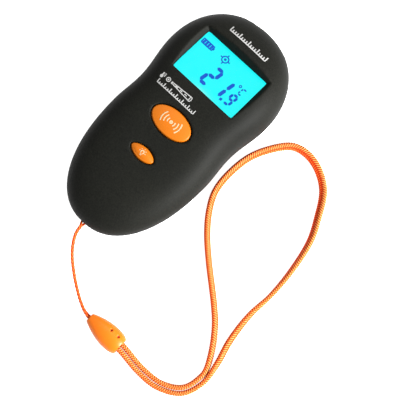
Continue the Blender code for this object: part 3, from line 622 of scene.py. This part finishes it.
def clear_window():
    """Clear acrylic with a faint haze."""
    made, shader = shader_of("clear_acrylic", (0.0,) * 3, 0.2, Specular_IOR_Level=0.12, Alpha=0.03)
    tree = made.node_tree
    haze = ramp(tree, noise(tree, 300, 2.0).outputs["Fac"], [(0.3, (0.17,) * 3), (0.7, (0.24,) * 3)])
    tree.links.new(haze.outputs["Color"], shader.inputs["Roughness"])
    return made


def frosted_lens():
    """Milky polyethylene."""
    made, shader = shader_of("infrared_lens", (0.32, 0.33, 0.31), 0.38, Subsurface_Weight=0.1)
    tree = made.node_tree
    tint = ramp(tree, noise(tree, 500, 2.0).outputs["Fac"], [
        (0.3, (0.26, 0.27, 0.25)), (0.7, (0.36, 0.37, 0.35))])
    tree.links.new(tint.outputs["Color"], shader.inputs["Base Color"])
    return made


MATERIALS = {
    "soft_touch_black": soft_touch_black(),
    "gloss_black": moulded("gloss_black", (0.010, 0.010, 0.010), 0.42, Specular_IOR_Level=0.3),
    "inner_black": moulded("inner_black", (0.015, 0.015, 0.016), 0.5),
    "inner_white": moulded("inner_white", (0.75, 0.75, 0.72), 0.5),
    "infrared_lens": frosted_lens(),
    "steel": metal("steel", (0.15, 0.15, 0.155), 0.38),
    "brass": metal("brass", (0.75, 0.52, 0.2), 0.28),
    "board_green": circuit_board(),
    "clear_acrylic": clear_window(),
    "lcd_cyan": lcd_backlight(),
    "light_guide": moulded("light_guide", (0.85, 0.92, 0.95), 0.3),
    "contact_rubber": moulded("contact_rubber", (0.1, 0.1, 0.11), 0.7),
    "button_orange": moulded("button_orange", (0.42, 0.105, 0.0012), 0.45, spread=0.06,
                             Specular_IOR_Level=0.25),
    "bead_orange": moulded("bead_orange", (0.66, 0.135, 0.003), 0.35, spread=0.08, depth=0.008,
                           Specular_IOR_Level=0.3),
    "strap_orange": braid(),
    "cell_label": moulded("cell_label", (0.05, 0.055, 0.08), 0.3),
    "lead_red": moulded("lead_red", (0.45, 0.02, 0.015), 0.4),
    "lead_black": moulded("lead_black", (0.02, 0.02, 0.02), 0.4),
}
PRINT_WHITE = moulded("print_white", (0.36, 0.36, 0.35), 0.55, spread=0.2)
PRINT_PALE = moulded("print_pale", (0.45, 0.33, 0.19), 0.5, spread=0.1)
RIVET_RED = moulded("rivet_red", (0.35, 0.02, 0.002), 0.4)
SEGMENT_BLUE = glowing("segment_blue", (0.0, 0.075, 0.62))[0]


def paint_cad():
    """Every CAD node takes its slot's material."""
    slots = {part["node"]: part["material_slot"] for part in frame["record"]["subparts"]}
    for name, obj in frame["nodes"].items():
        obj.data.materials.clear()
        obj.data.materials.append(MATERIALS[slots[name]])


# Case


def button_hole(name, semi, power, at):
    points = superellipse(semi[0] + GAP, semi[1] + GAP, power, OVAL_STEPS)
    return helper(name, prism(points, HOLE_LOW, HOLE_HIGH), at=(0, at.y, 0))


def display_recess():
    """Cutter whose walls lean out from the display, least at the nose and most at the tail."""
    x, y, top = DISPLAY_WIDTH / 2, DISPLAY_LENGTH / 2, RECESS_TOP
    side, nose, tail = RECESS_SIDE * top, RECESS_NOSE * top, RECESS_TAIL * top
    upper = rectangle(-x - side, -y - tail, x + side, y + nose, top)
    return helper("display_recess", loft([rectangle(-x, -y, x, y, 0), upper]), **on_display())


def nose_opening():
    points = superellipse(*NOSE_OPENING, OPENING_POWER, OVAL_STEPS)
    place = facing_nose(0, HALF_LENGTH - 1, OPENING_Z)
    return helper("nose_opening", prism(points, -BEZEL_REACH, BEZEL_REACH), **place)


def make_upper_shell():
    """Domed shell with its wall, the sunk display surround and the button holes."""
    shell = add("case_upper_shell", dome(0.0, PARTING + GAP / 2), MATERIALS["soft_touch_black"])
    cavity = helper("upper_cavity", dome(WALL, PARTING - CLEAR, steps=10))
    pad = display_block(*DISPLAY_PAD, -DISPLAY_SKIN, RECESS_TOP)
    combine(cavity, helper("display_pad", pad, **on_display()))
    hole = helper("display_hole", display_block(0, 0, -8, 4), **on_display())
    recess = display_recess()
    combine(shell, cavity, recess, hole, nose_opening())
    combine(shell, button_hole("trigger_hole", TRIGGER_SEMI, TRIGGER_POWER, TRIGGER_AT))
    combine(shell, button_hole("lamp_hole", LAMP_SEMI, LAMP_POWER, LAMP_AT))
    settle(combine(soften(shell), recess, hole))  # squares the display's corners again
    piece(shell, "root", "soft_touch_black", "top_case")


def strap_slot():
    """Slot round the pin that widens outwards to let the cord swing."""
    points = [(-2.9, 2.7), (-3.7, -1.0), (-6.9, -7.0), (4.4, -7.0), (2.9, -1.0), (2.9, 2.7)]
    return helper("strap_slot", prism(points, SLOT_LOW, SLOT_HIGH), at=(0, PIN_AT.y, 0))


def make_lower_shell():
    """Dished shell with the battery opening, the strap slot and the screw counterbores."""
    shell = add("case_lower_shell", bowl(0.0, PARTING - GAP / 2), MATERIALS["soft_touch_black"])
    combine(shell, helper("lower_cavity", bowl(WALL, PARTING + CLEAR, steps=8)))
    reach, nose = COVER_HALF_WIDTH + GAP, COVER_NOSE + GAP
    opening = block((-reach, -OUTSIDE, -CLEAR), (reach, nose, COVER_TOP + GAP))
    fillers = []
    for i, at in enumerate(SCREWS):
        fillers.append(post(at.x, at.y, BOSS_RADIUS, BOSS_FOOT, PARTING - GAP, f"boss_{i}"))
    low = (-ANCHOR_HALF_WIDTH, PIN_AT.y - ANCHOR_TAIL, ANCHOR_FOOT)
    high = (ANCHOR_HALF_WIDTH, PIN_AT.y + ANCHOR_NOSE, PARTING - GAP)
    fillers.append(helper("anchor", block(low, high)))
    limit = helper("boss_limit", bowl(BOSS_INSET, PARTING, steps=10))
    for filler in fillers:
        combine(filler, limit, operation="INTERSECT")
        combine(shell, filler, operation="UNION")
    combine(shell, helper("cover_opening", opening), strap_slot(), nose_opening())
    combine(shell, post(PIN_AT.x, PIN_AT.y, PIN_HOLE, PIN_FOOT, PIN_TOP, "pin_hole"))
    for i, at in enumerate(SCREWS):
        combine(shell, post(at.x, at.y, COUNTERBORE_RADIUS, -1, COUNTERBORE_TOP, f"counterbore_{i}"))
        combine(shell, post(at.x, at.y, PILOT_RADIUS, -1, PILOT_TOP, f"pilot_{i}"))
    piece(soften(shell), "root", "soft_touch_black", "bottom_case")


def make_cover():
    """Battery cover: a tongue of the lower skin with grip grooves and a latch tab."""
    cover = add("battery_cover_skin", bowl(0.0, PARTING - GAP / 2), MATERIALS["soft_touch_black"])
    low, high = (-COVER_HALF_WIDTH, -OUTSIDE, -CLEAR), (COVER_HALF_WIDTH, COVER_NOSE, COVER_TOP)
    combine(cover, helper("cover_limit", block(low, high)), operation="INTERSECT")
    combine(cover, helper("cover_inside", bowl(COVER_WALL, PARTING + CLEAR, steps=8)))
    half, root = TONGUE_HALF_WIDTH, COVER_NOSE - TONGUE_ROOT
    tab = helper("cover_tab", block((-half, root, COVER_WALL / 2), (half, COVER_NOSE, TONGUE_HIGH)))
    tongue = helper("cover_tongue", block((-half, root, TONGUE_LOW), (half, TONGUE_TIP, TONGUE_HIGH)))
    combine(cover, combine(tab, tongue, operation="UNION"), operation="UNION")
    for i in range(GRIPS):
        y = GRIP_START + GRIP_PITCH * i
        groove = block((-GRIP_REACH, y, -1), (GRIP_REACH, y + GRIP_WIDTH, GRIP_DEPTH))
        combine(cover, helper(f"grip_{i}", groove))
    piece(soften(cover, voxel=0.3, rounds=2), "cover", "soft_touch_black", "battery_cover")


# Nose


def make_bezel():
    """The insert round the lens and the laser; its front follows the case's curve."""
    points = superellipse(NOSE_OPENING[0] - GAP, NOSE_OPENING[1] - GAP, OPENING_POWER, OVAL_STEPS)
    place = facing_nose(0, BEZEL_BACK, OPENING_Z)
    bezel = add("sensor_bezel", prism(points, 0, BEZEL_REACH), MATERIALS["gloss_black"], **place)
    form = helper("nose_form", dome(BEZEL_SINK, PARTING))
    combine(form, helper("nose_form_below", bowl(BEZEL_SINK, PARTING + 1)), operation="UNION")
    combine(bezel, form, operation="INTERSECT")
    cone = turned([(3.5, -1), (3.5, 1.4), (4.2, 1.7), (4.35, 3.3), (4.75, 3.5), (5.2, 7)], 96)
    combine(bezel, helper("lens_cone", cone, **facing_nose(LENS_AT.x, BEZEL_BACK, OPTICS_Z)))
    bore = turned([(1.5, -1), (1.5, 4.0), (2.3, 7)], 48)
    combine(bezel, helper("laser_bore", bore, **facing_nose(LASER_AT.x, BEZEL_BACK, OPTICS_Z)))
    piece(soften(bezel, voxel=0.2, rounds=2), "root", "gloss_black", "nose_bezel")


def make_lens():
    """Fresnel lens: concentric stepped grooves round a shallow centre."""
    profile, radius = [(LENS_RADIUS, 0.0), (LENS_RADIUS, LENS_RIM)], GROOVE_START
    for _ in range(GROOVES):
        profile += [(radius, LENS_RIM), (radius - GROOVE_EDGE, GROOVE_CREST)]
        profile.append((radius - GROOVE_RUN, GROOVE_FLOOR))
        radius -= GROOVE_PITCH
    profile += [(0.3, 0.8), (0.05, 0.84)]  # the centre
    place = facing_nose(LENS_AT.x, box_mm("infrared_lens")[0].y, OPTICS_Z)
    lens = add("fresnel_lens", turned(profile, 64), MATERIALS["infrared_lens"], **place)
    piece(lens, "root", "infrared_lens", "infrared_lens")


# Printed marks, as thin solids that follow a surface


def ribbon(bm, points, width, surface, lift=0.0, closed=False):
    """A printed stroke along 2-D points."""
    count, rings = len(points), []
    for i, (x, y) in enumerate(points):
        before = points[(i - 1) % count] if closed else points[max(i - 1, 0)]
        after = points[(i + 1) % count] if closed else points[min(i + 1, count - 1)]
        ahead = Vector((after[0] - before[0], after[1] - before[1])).normalized()
        u, v = -ahead.y * width / 2, ahead.x * width / 2
        ring = []
        for side, high in ((1, 0), (1, 1), (-1, 1), (-1, 0)):
            px, py = x + side * u, y + side * v
            level = surface(px, py) + lift + (high - 0.5) * PRINT_THICKNESS
            ring.append(bm.verts.new((px, py, level)))
        rings.append(ring)
    pairs = list(zip(rings, rings[1:])) + ([(rings[-1], rings[0])] if closed else [])
    for near, far in pairs:
        for i in range(4):
            j = (i + 1) % 4
            bm.faces.new((near[i], near[j], far[j], far[i]))
    if not closed:
        bm.faces.new(reversed(rings[0]))
        bm.faces.new(rings[-1])


def dense(points, spacing=0.4):
    """The same polyline with closer points, so that a stroke can bend with its surface."""
    out = [points[0]]
    for (ax, ay), (bx, by) in zip(points, points[1:]):
        steps = max(1, math.ceil(math.hypot(bx - ax, by - ay) / spacing))
        out += [(ax + (bx - ax) * i / steps, ay + (by - ay) * i / steps) for i in range(1, steps + 1)]
    return out


def circle(bm, x, y, radius, width, surface):
    ribbon(bm, arc(x, y, radius, 0, 360, 28)[:-1], width, surface, closed=True)


def ray(x, y, degrees, near, far):
    """The two ends of a stroke that points away from x, y."""
    c, s = math.cos(math.radians(degrees)), math.sin(math.radians(degrees))
    return [(x + reach * c, y + reach * s) for reach in (near, far)]


def case_stroke(bm, points, width, closed=False):
    ribbon(bm, points, width, case_height, PRINT_LIFT, closed)


def scale_marks(bm, left, right, y, pitch, heights, width):
    """A base line with ticks; heights repeats along it."""
    count = round((right - left) / pitch) + 1
    for i in range(count):
        x = left + (right - left) * i / (count - 1)
        tall = heights[i % len(heights)]
        case_stroke(bm, dense([(x, y), (x, y + tall)]), width)
    case_stroke(bm, dense([(left, y), (right, y)]), width)


def thermometer_mark(bm, x, y):
    """A bulb and a stem with three ticks."""
    case_stroke(bm, dense([(x, y - 0.3), (x, y + 1.0)]), 0.5)
    circle(bm, x, y - 0.6, 0.32, 0.6, case_height)
    for i in range(3):
        left, level = x + 0.6, y - 0.1 + 0.5 * i
        case_stroke(bm, [(left, level), (left + 0.6, level)], 0.24)


def cone_mark(bm, start, end, y, spread):
    """A widening beam: its source, its edges, the oval it ends in and its dashed middle line."""
    case_stroke(bm, [(start - 0.5, y - 0.45), (start - 0.5, y + 0.45)], 0.6)
    for side in (-1, 1):
        case_stroke(bm, dense([(start, y + 0.25 * side), (end, y + spread * side)]), 0.3)
    oval = [(end + x, y + rise) for x, rise in superellipse(0.4, spread, 2.0, 24)]
    case_stroke(bm, oval, 0.3, closed=True)
    for i in range(3):
        x = start + 1.2 + 2.2 * i
        case_stroke(bm, [(x, y), (x + 1.1, y)], 0.3)


def case_marks():
    """A graduated scale over the display; a small thermometer, a sighting cone and a fine scale below."""
    bm = bmesh.new()
    scale_marks(bm, -8.5, 8.5, 37.4, 1.06, (2.0, 1.1, 1.1, 1.1), 0.42)
    left, row = -14.4, 8.5
    thermometer_mark(bm, left, row)
    for radius in (0.75, 0.16):
        circle(bm, left + 2.9, row, radius, 0.3, case_height)
    cone_mark(bm, left + 5.2, left + 13.6, row, 0.85)
    scale_marks(bm, -14.1, 3.5, 5.3, 0.98, (1.5, 0.7, 0.7), 0.36)
    piece(add("case_print", bm, PRINT_WHITE), "root", "soft_touch_black")


def crown(semi, power, top, at):
    """The function that gives the height of a button's domed face."""
    semi_x, semi_y = semi[0] - ROUNDING, semi[1] - ROUNDING

    def height(x, y):
        share = (abs(x / semi_x) ** power + abs((y - at.y) / semi_y) ** power) ** (1 / power)
        return top - BUTTON_DOME * min(share, 1.0) ** CROWN_POWER

    return height


def trigger_marks():
    """A spot with waves spreading to both sides."""
    surface = crown(TRIGGER_SEMI, TRIGGER_POWER, TRIGGER_TOP, TRIGGER_AT)
    bm = bmesh.new()
    y = TRIGGER_AT.y
    circle(bm, 0, y, 0.42, 0.5, surface)
    for i in range(3):
        radius = 1.5 + 1.25 * i
        for middle in (0, 180):
            ribbon(bm, arc(0, y, radius, middle - 32, middle + 32, 10), 0.44, surface, PRINT_LIFT)
    piece(add("trigger_print", bm, PRINT_PALE), "trigger", "button_orange")


def lamp_marks():
    """A bulb with short rays."""
    surface = crown(LAMP_SEMI, LAMP_POWER, LAMP_TOP, LAMP_AT)
    bm = bmesh.new()
    y = LAMP_AT.y + 0.15
    ribbon(bm, arc(0, y, 0.6, -55, 235, 18), 0.34, surface, PRINT_LIFT)
    for k in range(2):
        level = y - 0.82 - 0.34 * k
        ribbon(bm, [(-0.36, level), (0.36, level)], 0.22, surface, PRINT_LIFT)
    for angle in (0, 45, 90, 135, 180):
        ribbon(bm, ray(0, y, angle, 1.05, 1.45), 0.26, surface, PRINT_LIFT)
    piece(add("lamp_print", bm, PRINT_PALE), "backlight", "button_orange")


# Display


def flat(x, y):
    """The display's surface for ribbon: level everywhere."""
    return LCD_TOP + (SEGMENT_LOW + SEGMENT_HIGH) / 2


def bar(bm, x0, y0, x1, y1, width):
    """One display segment with pointed ends."""
    ahead = Vector((x1 - x0, y1 - y0))
    length = ahead.length
    ahead.normalize()
    side = Vector((-ahead.y, ahead.x)) * width / 2
    start, tip = Vector((x0, y0)), width / 2
    outline_points = [
        start, start + ahead * tip + side, start + ahead * (length - tip) + side,
        start + ahead * length, start + ahead * (length - tip) - side, start + ahead * tip - side,
    ]
    low = [bm.verts.new((p.x, p.y, LCD_TOP + SEGMENT_LOW)) for p in outline_points]
    high = [bm.verts.new((p.x, p.y, LCD_TOP + SEGMENT_HIGH)) for p in outline_points]
    bm.faces.new(reversed(low))
    bm.faces.new(high)
    for i in range(6):
        j = (i + 1) % 6
        bm.faces.new((low[i], low[j], high[j], high[i]))


def digit(bm, shown, x, y, width, height, stroke):
    """A seven-segment digit with its lower middle at x, y; shown names the lit segments."""
    half = width / 2
    corners = {
        "a": ((-half, height), (half, height)), "b": ((half, height), (half, height / 2)),
        "c": ((half, height / 2), (half, 0)), "d": ((-half, 0), (half, 0)),
        "e": ((-half, height / 2), (-half, 0)), "f": ((-half, height), (-half, height / 2)),
        "g": ((-half, height / 2), (half, height / 2)),
    }
    for name in shown:
        (ax, ay), (bx, by) = corners[name]
        gap = Vector((bx - ax, by - ay)).normalized() * SEGMENT_GAP
        ax, ay, bx, by = ax + gap.x, ay + gap.y, bx - gap.x, by - gap.y
        bar(bm, x + ax + SEGMENT_LEAN * ay, y + ay, x + bx + SEGMENT_LEAN * by, y + by, stroke)


def battery_mark(bm, left, low, right, high):
    """A cell's outline with its cap and four charge bars."""
    corners = [(left, low), (right, low), (right, high), (left, high), (left, low)]
    ribbon(bm, dense(corners, 1.0), 0.5, flat)
    cap = right + 0.35
    ribbon(bm, [(cap, low + 0.4), (cap, high - 0.4)], 0.4, flat)
    for i in range(4):
        x = left + 0.75 + 1.15 * i
        ribbon(bm, [(x, low + 0.2), (x + 0.1, high - 0.2)], 0.9, flat)


def sight_mark(bm, x, y):
    """A ring with a dot and four ticks."""
    circle(bm, x, y, 1.3, 0.45, flat)
    circle(bm, x, y, 0.25, 0.5, flat)
    for angle in (0, 90, 180, 270):
        ribbon(bm, ray(x, y, angle, 1.5, 2.2), 0.45, flat)


def lcd_marks():
    """A reading with its degree sign and unit, a battery gauge and a sight."""
    bm = bmesh.new()
    row = -6.4
    digit(bm, "abged", -2.4, row, width=3.1, height=8.0, stroke=1.35)
    digit(bm, "bc", 3.4, row, width=3.1, height=8.0, stroke=1.35)
    bar(bm, 6.1, -7.0, 7.0, -5.9, width=1.15)
    digit(bm, "abcdfg", 8.9, row, width=2.1, height=4.7, stroke=0.95)
    circle(bm, 8.3, 2.2, 0.42, 0.36, flat)
    digit(bm, "adef", 10.1, -0.4, width=1.5, height=2.7, stroke=0.55)
    battery_mark(bm, -13.7, 4.9, -8.7, 6.7)
    sight_mark(bm, -2.7, 5.9)
    piece(add("lcd_segments", bm, SEGMENT_BLUE, **on_display()), "root", "lcd_cyan")


def make_lcd():
    """The glass sandwich: a bevelled plate with the lit field as its face."""
    bm = display_block(LCD_MARGIN, LCD_MARGIN, LCD_TOP - LCD_DEPTH, LCD_TOP)
    bmesh.ops.bevel(bm, geom=bm.edges[:], offset=0.12, segments=2, affect="EDGES")
    piece(add("lcd_panel", bm, MATERIALS["lcd_cyan"], **on_display()), "root", "lcd_cyan", "lcd_glass")


# Buttons


def button(name, semi, power, at, top, body, node):
    """Flange, upright wall, rounded rim and domed face."""
    wall_top = top - SHOULDER
    sections = [  # reach past the wall, height
        (FLANGE_REACH, BUTTON_FOOT), (FLANGE_REACH, BUTTON_FOOT + FLANGE_RIM),
        (0.0, BUTTON_FOOT + FLANGE_TOP), (0.0, wall_top),
    ]
    for degrees in (15, 30, 45, 60, 75):
        a = math.radians(degrees)
        rise = (SHOULDER - BUTTON_DOME) * math.sin(a)
        sections.append((-ROUNDING * (1 - math.cos(a)), wall_top + rise))
    rings = []
    for reach, z in sections:
        points = superellipse(semi[0] + reach, semi[1] + reach, power, OVAL_STEPS)
        rings.append([(x, y, z) for x, y in points])
    edge = superellipse(semi[0] - ROUNDING, semi[1] - ROUNDING, power, OVAL_STEPS)
    for share in (1.0, 0.95, 0.88, 0.8, 0.7, 0.58, 0.45, 0.3, 0.15, 0.05):
        z = top - BUTTON_DOME * share**CROWN_POWER
        rings.append([(x * share, y * share, z) for x, y in edge])
    obj = add(name, loft(rings), MATERIALS["button_orange"], at=(0, at.y, 0), angle=50)
    piece(obj, body, "button_orange", node)


# Strap


def cord_path():
    """Out of the bead, round the pin and back.

    The two strands leave the pin side by side, lie one over the other where the cord hangs
    free, and turn nearly level again inside the bead.
    """
    bead_y = BEAD_TIP[1]
    middle = [
        (-0.1, -46.4, CORD_Z), (0.2, -49.8, CORD_Z), (0.9, -53.6, 8.5), (2.8, -57.2, 7.4),
        (6.1, -61.2, 5.5), (12.1, -66.1, 3.2), (18.8, -70.1, 3.0), (23.8, bead_y, BEAD_Z - 0.1),
        (29.2, bead_y, BEAD_Z),
    ]
    centre = smooth_path(middle, CORD_STEPS)
    strands = {-1: [], 1: []}
    for i, point in enumerate(centre):
        ahead = (centre[min(i + 1, len(centre) - 1)] - centre[max(i - 1, 0)]).normalized()
        side = ahead.cross(Vector((0, 0, 1))).normalized()
        spread = CORD_RADIUS + PIN_RADIUS * max(0.0, 1 - i / CORD_STEPS)
        from_pin, to_bead = (i - 4) / CORD_STEPS, (len(centre) + 5 - i) / (2 * CORD_STEPS)
        turn = CORD_STACKING * blend(from_pin) * blend(to_bead)
        offset = spread * (math.cos(turn) * side + math.sin(turn) * side.cross(ahead))
        for hand in strands:
            strands[hand].append(point + hand * offset)
    radius = PIN_RADIUS + GAP + CORD_RADIUS
    bend = [Vector((x, y, CORD_Z)) for x, y in arc(PIN_AT.x, PIN_AT.y, radius, -15, 195, 24)]
    right, left = sorted(strands.values(), key=lambda strand: -strand[0].x)
    return list(reversed(right)) + bend + left


def store_values(obj, name, values):
    """Gives each vertex a number that the material reads."""
    layer = obj.data.attributes.new(name, "FLOAT", "POINT")
    layer.data.foreach_set("value", values)


def make_cord():
    """Two-ply cord: a lobed section that twists along the path."""
    path, sides = even_path(cord_path(), CORD_SPACING), 16
    weave_shade = []

    def section(i):
        points = []
        for k in range(sides):
            a = math.tau * k / sides
            lobe = math.cos(CORD_LOBES * a - math.tau * i * CORD_SPACING / CORD_TWIST)
            # lower between the plies, where the material paints the cord darker: painted shade in the
            # grooves, painted highlight on the ply crests
            weave_shade.append(0.3 + 0.3 * lobe)
            radius = CORD_RADIUS * (1 - CORD_LOBE_DEPTH + CORD_LOBE_DEPTH * lobe)
            points.append((radius * math.cos(a), radius * math.sin(a)))
        return points

    obj = add("strap_cord_twisted", sweep(path, section), MATERIALS["strap_orange"], angle=80)
    store_values(obj, "weave_shade", weave_shade)
    # the cord takes one even mix of the painted lit and painted shaded yarn colours
    store_values(obj, "painted_light", [CORD_LIT_SHARE] * len(weave_shade))
    piece(obj, "strap", "strap_orange", "strap_cord")


def band_rest(lean):
    """Height of the band's middle where it lies on the table, its width leaning by an angle."""
    return BAND_SEMI[0] * abs(math.sin(lean)) + BAND_SEMI[1] * abs(math.cos(lean)) + 0.1


def band_path():
    """Middle line of the band with its lean: out of the bead, round the big loop and back."""
    near_bead = [(33.5, 1.05, BEAD_Z), (41.9, 1.05, 3.2)]  # x, distance from the bead's axis, z
    lying = [  # x, y and lean in degrees
        (51.4, -71.7, ON_EDGE), (60.1, -70.9, ON_EDGE), (66.7, -67.0, ON_EDGE), (69.0, -61.0, -84),
        (68.1, -54.2, -70), (59.3, -41.4, -62), (42.6, -27.1, -62), (34.9, -19.9, -60),
        (29.5, -13.1, -58), (26.1, -6.1, -56), (25.3, 2.5, -55), (26.6, 12.0, -54),
        (30.6, 20.4, -48), (35.7, 26.3, -40), (42.2, 27.8, -32), (49.3, 25.9, -28),
        (55.6, 21.2, -32), (60.4, 13.2, -44), (64.6, 3.9, -56), (66.9, -8.4, -70),
        (67.6, -20.2, -88), (66.9, -31.2, -112), (68.0, -42.4, -124), (70.3, -51.7, -116),
        (71.3, -60.4, -94), (68.3, -68.4, ON_EDGE), (60.5, -72.95, ON_EDGE), (51.6, -73.8, ON_EDGE),
    ]
    on_edge = math.radians(ON_EDGE)
    points = [(x, BEAD_TIP[1] + off, z, on_edge) for x, off, z in near_bead]
    for x, y, degrees in lying:
        lean = math.radians(degrees)
        points.append((x, y, band_rest(lean), lean))
    points += [(x, BEAD_TIP[1] - off, z, on_edge) for x, off, z in reversed(near_bead)]
    return smooth_path(points, BAND_STEPS)


def make_band():
    """Flat braid: yarns cross in fine ribs on both faces, with a groove down the middle.

    Light is painted into the yarn: where it faces up or towards the painted light's side it takes a paler,
    painted lit colour, and elsewhere a painted shaded red.
    """
    pitch, slant, depth, groove = 0.86, 1.0, 0.12, 0.14
    half_width, half_depth = (semi - BAND_SHRINK for semi in BAND_SEMI)
    path = even_path(band_path(), BAND_SPACING)
    line = [point.to_3d() for point in path]
    form = superellipse(half_width, half_depth, BAND_POWER, 40)
    weave_shade, painted_light = [], []

    def section(i):
        lean = path[i][3]
        ahead = line[min(i + 1, len(line) - 1)] - line[max(i - 1, 0)]
        side = ahead.cross(Vector((0, 0, 1))).normalized()
        rise = side.cross(ahead).normalized()
        points = []
        for x, y in form:
            across = abs(x) / half_width
            face = 0.0 if y >= 0 else 0.5
            wave = 0.5 + 0.5 * math.cos(math.tau * (i * BAND_SPACING / pitch - slant * across + face))
            middle = 1 - math.exp(-((across / groove) ** 2))
            height = wave * (0.35 + 0.65 * middle)
            # the rib height also paints the grooves darker and the crests paler: painted shade and painted
            # highlight
            weave_shade.append(height * 0.75)
            scale = 1 + depth * (height - 0.5) / math.hypot(x, y)
            u, v = x * scale, y * scale
            inward, up = u * math.cos(lean) - v * math.sin(lean), u * math.sin(lean) + v * math.cos(lean)
            points.append((inward, up))
            # painted light: faces turned towards one side are painted paler as if lit, faces turned away a
            # painted shaded red
            facing = (inward * side + up * rise).normalized()
            painted_light.append(blend(0.45 + 0.5 * facing.dot(PAINTED_LIGHT_SIDE)))
        return points

    obj = add("strap_band_braided", sweep(line, section), MATERIALS["strap_orange"], angle=80)
    store_values(obj, "weave_shade", weave_shade)
    store_values(obj, "painted_light", painted_light)
    piece(obj, "strap", "strap_orange", "strap_band")


def bead_radius(share):
    """The teardrop's radius at a share of its length from the tip."""
    widest, tip_share, end_fall = 0.70, 0.4, 0.42
    if share < widest:
        swell = math.sin(math.pi / 2 * share / widest) ** 0.85
        return BEAD_RADIUS * (tip_share + (1 - tip_share) * swell)
    return BEAD_RADIUS * math.sqrt(1 - end_fall * ((share - widest) / (1 - widest)) ** 2.5)


def bead_form():
    rings, steps = [], 40
    for i in range(steps + 1):
        share = i / steps
        radius = bead_radius(share)
        oval = superellipse(radius, BEAD_FLATTENING * radius, 2.0, 64)
        rings.append([(BEAD_LENGTH * share, y, z) for y, z in oval])
    return loft(rings)


def tunnel(half_width, half_height, start, end):
    """An oval passage along X."""
    oval = superellipse(half_width, half_height, 2.0, 40)
    return loft([[(x, y, z) for y, z in oval] for x in (start, end)])


def make_bead():
    """Two clipped halves with a fine seam; the upper has two sunk rivets."""
    tip = (*BEAD_TIP, BEAD_Z)
    hollows = {
        "channel": tunnel(1.35, 0.85, -CLEAR, 5.0),
        "chamber": block((4.0, -2.2, -1.4), (8.5, 2.2, 1.4)),
        "mouth": tunnel(2.75, 2.1, 7.9, BEAD_LENGTH + CLEAR),
    }
    rivets = [(tip[0] + RIVET_START + RIVET_PITCH * k, tip[1] + RIVET_SIDE) for k in range(2)]
    for node, side in (("bead_upper", 1), ("bead_lower", -1)):
        half = add(node + "_moulded", bead_form(), MATERIALS["bead_orange"], at=tip)
        low, high = sorted((side * BEAD_SEAM, side * 9.0))
        keep = helper(node + "_side", block((-3, -9, low), (BEAD_LENGTH + 3, 9, high)), at=tip)
        combine(half, keep, operation="INTERSECT")
        for name, hollow in hollows.items():
            combine(half, helper(f"{node}_{name}", hollow.copy(), at=tip))
        if side > 0:
            for k, (x, y) in enumerate(rivets):
                combine(half, post(x, y, RIVET_HOLE, RIVET_FLOOR, 12, f"rivet_hole_{k}"))
        piece(soften(half, voxel=0.16, rounds=2), "strap", "bead_orange", node)
    for k, (x, y) in enumerate(rivets):
        head = turned([(0.5, 5.4), (0.5, 5.62), (0.4, 5.72), (0.2, 5.78), (0.05, 5.8)], 24)
        piece(add(f"bead_rivet_{k + 1}", head, RIVET_RED, at=(x, y, 0)), "strap", "bead_orange")


# Stage


def make_stage():
    floor = bmesh.new()
    bmesh.ops.create_grid(floor, x_segments=1, y_segments=1, size=FLOOR_REACH)
    white, shader = shader_of("floor_white", (0.6, 0.6, 0.6), 0.9, Specular_IOR_Level=0.0)
    set_sockets(shader, Emission_Color=WHITE, Emission_Strength=FLOOR_GLOW)
    obj = add("floor", floor, white)
    world = bpy.data.worlds.new("studio")
    bpy.context.scene.world = world
    world.use_nodes = True
    background = world.node_tree.nodes["Background"]
    set_sockets(background, Color=WHITE, Strength=SKY_GLOW)


def area_light(name, at, target, size, power):
    """A disk light in metres and watts that faces its target."""
    data = bpy.data.lights.new(name, "AREA")
    data.shape, data.size, data.energy = "DISK", size, power
    obj = bpy.data.objects.new(name, data)
    obj.location = at
    obj.rotation_mode = "QUATERNION"
    obj.rotation_quaternion = (Vector(target) - Vector(at)).to_track_quat("-Z", "Y")
    bpy.context.scene.collection.objects.link(obj)


def make_lights():
    area_light("softbox_right", (0.54, 0.10, 0.36), (0.03, -0.02, 0.01), size=0.22, power=15.0)
    area_light("softbox_top", (-0.15, 0.35, 0.60), (0.0, 0.0, 0.01), size=0.45, power=0.8)


def make_camera():
    azimuth, elevation = math.radians(43.7), math.radians(80.8)
    target, distance = Vector((24.05, -12.48, 0.0)) * MM, 328.7 * MM
    level, rise = math.cos(elevation), math.sin(elevation)
    back = Vector((math.sin(azimuth) * level, -math.cos(azimuth) * level, rise))
    data = bpy.data.cameras.new("camera")
    data.sensor_width, data.lens = 36.0, 78.75
    data.clip_start, data.clip_end = 0.01, 10.0
    obj = bpy.data.objects.new("camera", data)
    obj.location = target + back * distance
    obj.rotation_mode = "QUATERNION"
    obj.rotation_quaternion = (-back).to_track_quat("-Z", "Y")
    bpy.context.scene.collection.objects.link(obj)
    bpy.context.scene.camera = obj


def set_colour_management():
    view = bpy.context.scene.view_settings
    view.view_transform, view.look = "Standard", "None"
    view.exposure, view.gamma = 0.0, 1.0


def build():
    paint_cad()
    make_upper_shell()
    make_lower_shell()
    make_cover()
    make_bezel()
    make_lens()
    make_lcd()
    lcd_marks()
    button("trigger_cap", TRIGGER_SEMI, TRIGGER_POWER, TRIGGER_AT, TRIGGER_TOP, "trigger", "trigger_button")
    button("lamp_cap", LAMP_SEMI, LAMP_POWER, LAMP_AT, LAMP_TOP, "backlight", "backlight_button")
    trigger_marks()
    lamp_marks()
    case_marks()
    make_cord()
    make_band()
    make_bead()
    drop_helpers()
    make_stage()
    make_lights()
    make_camera()
    set_colour_management()


build()
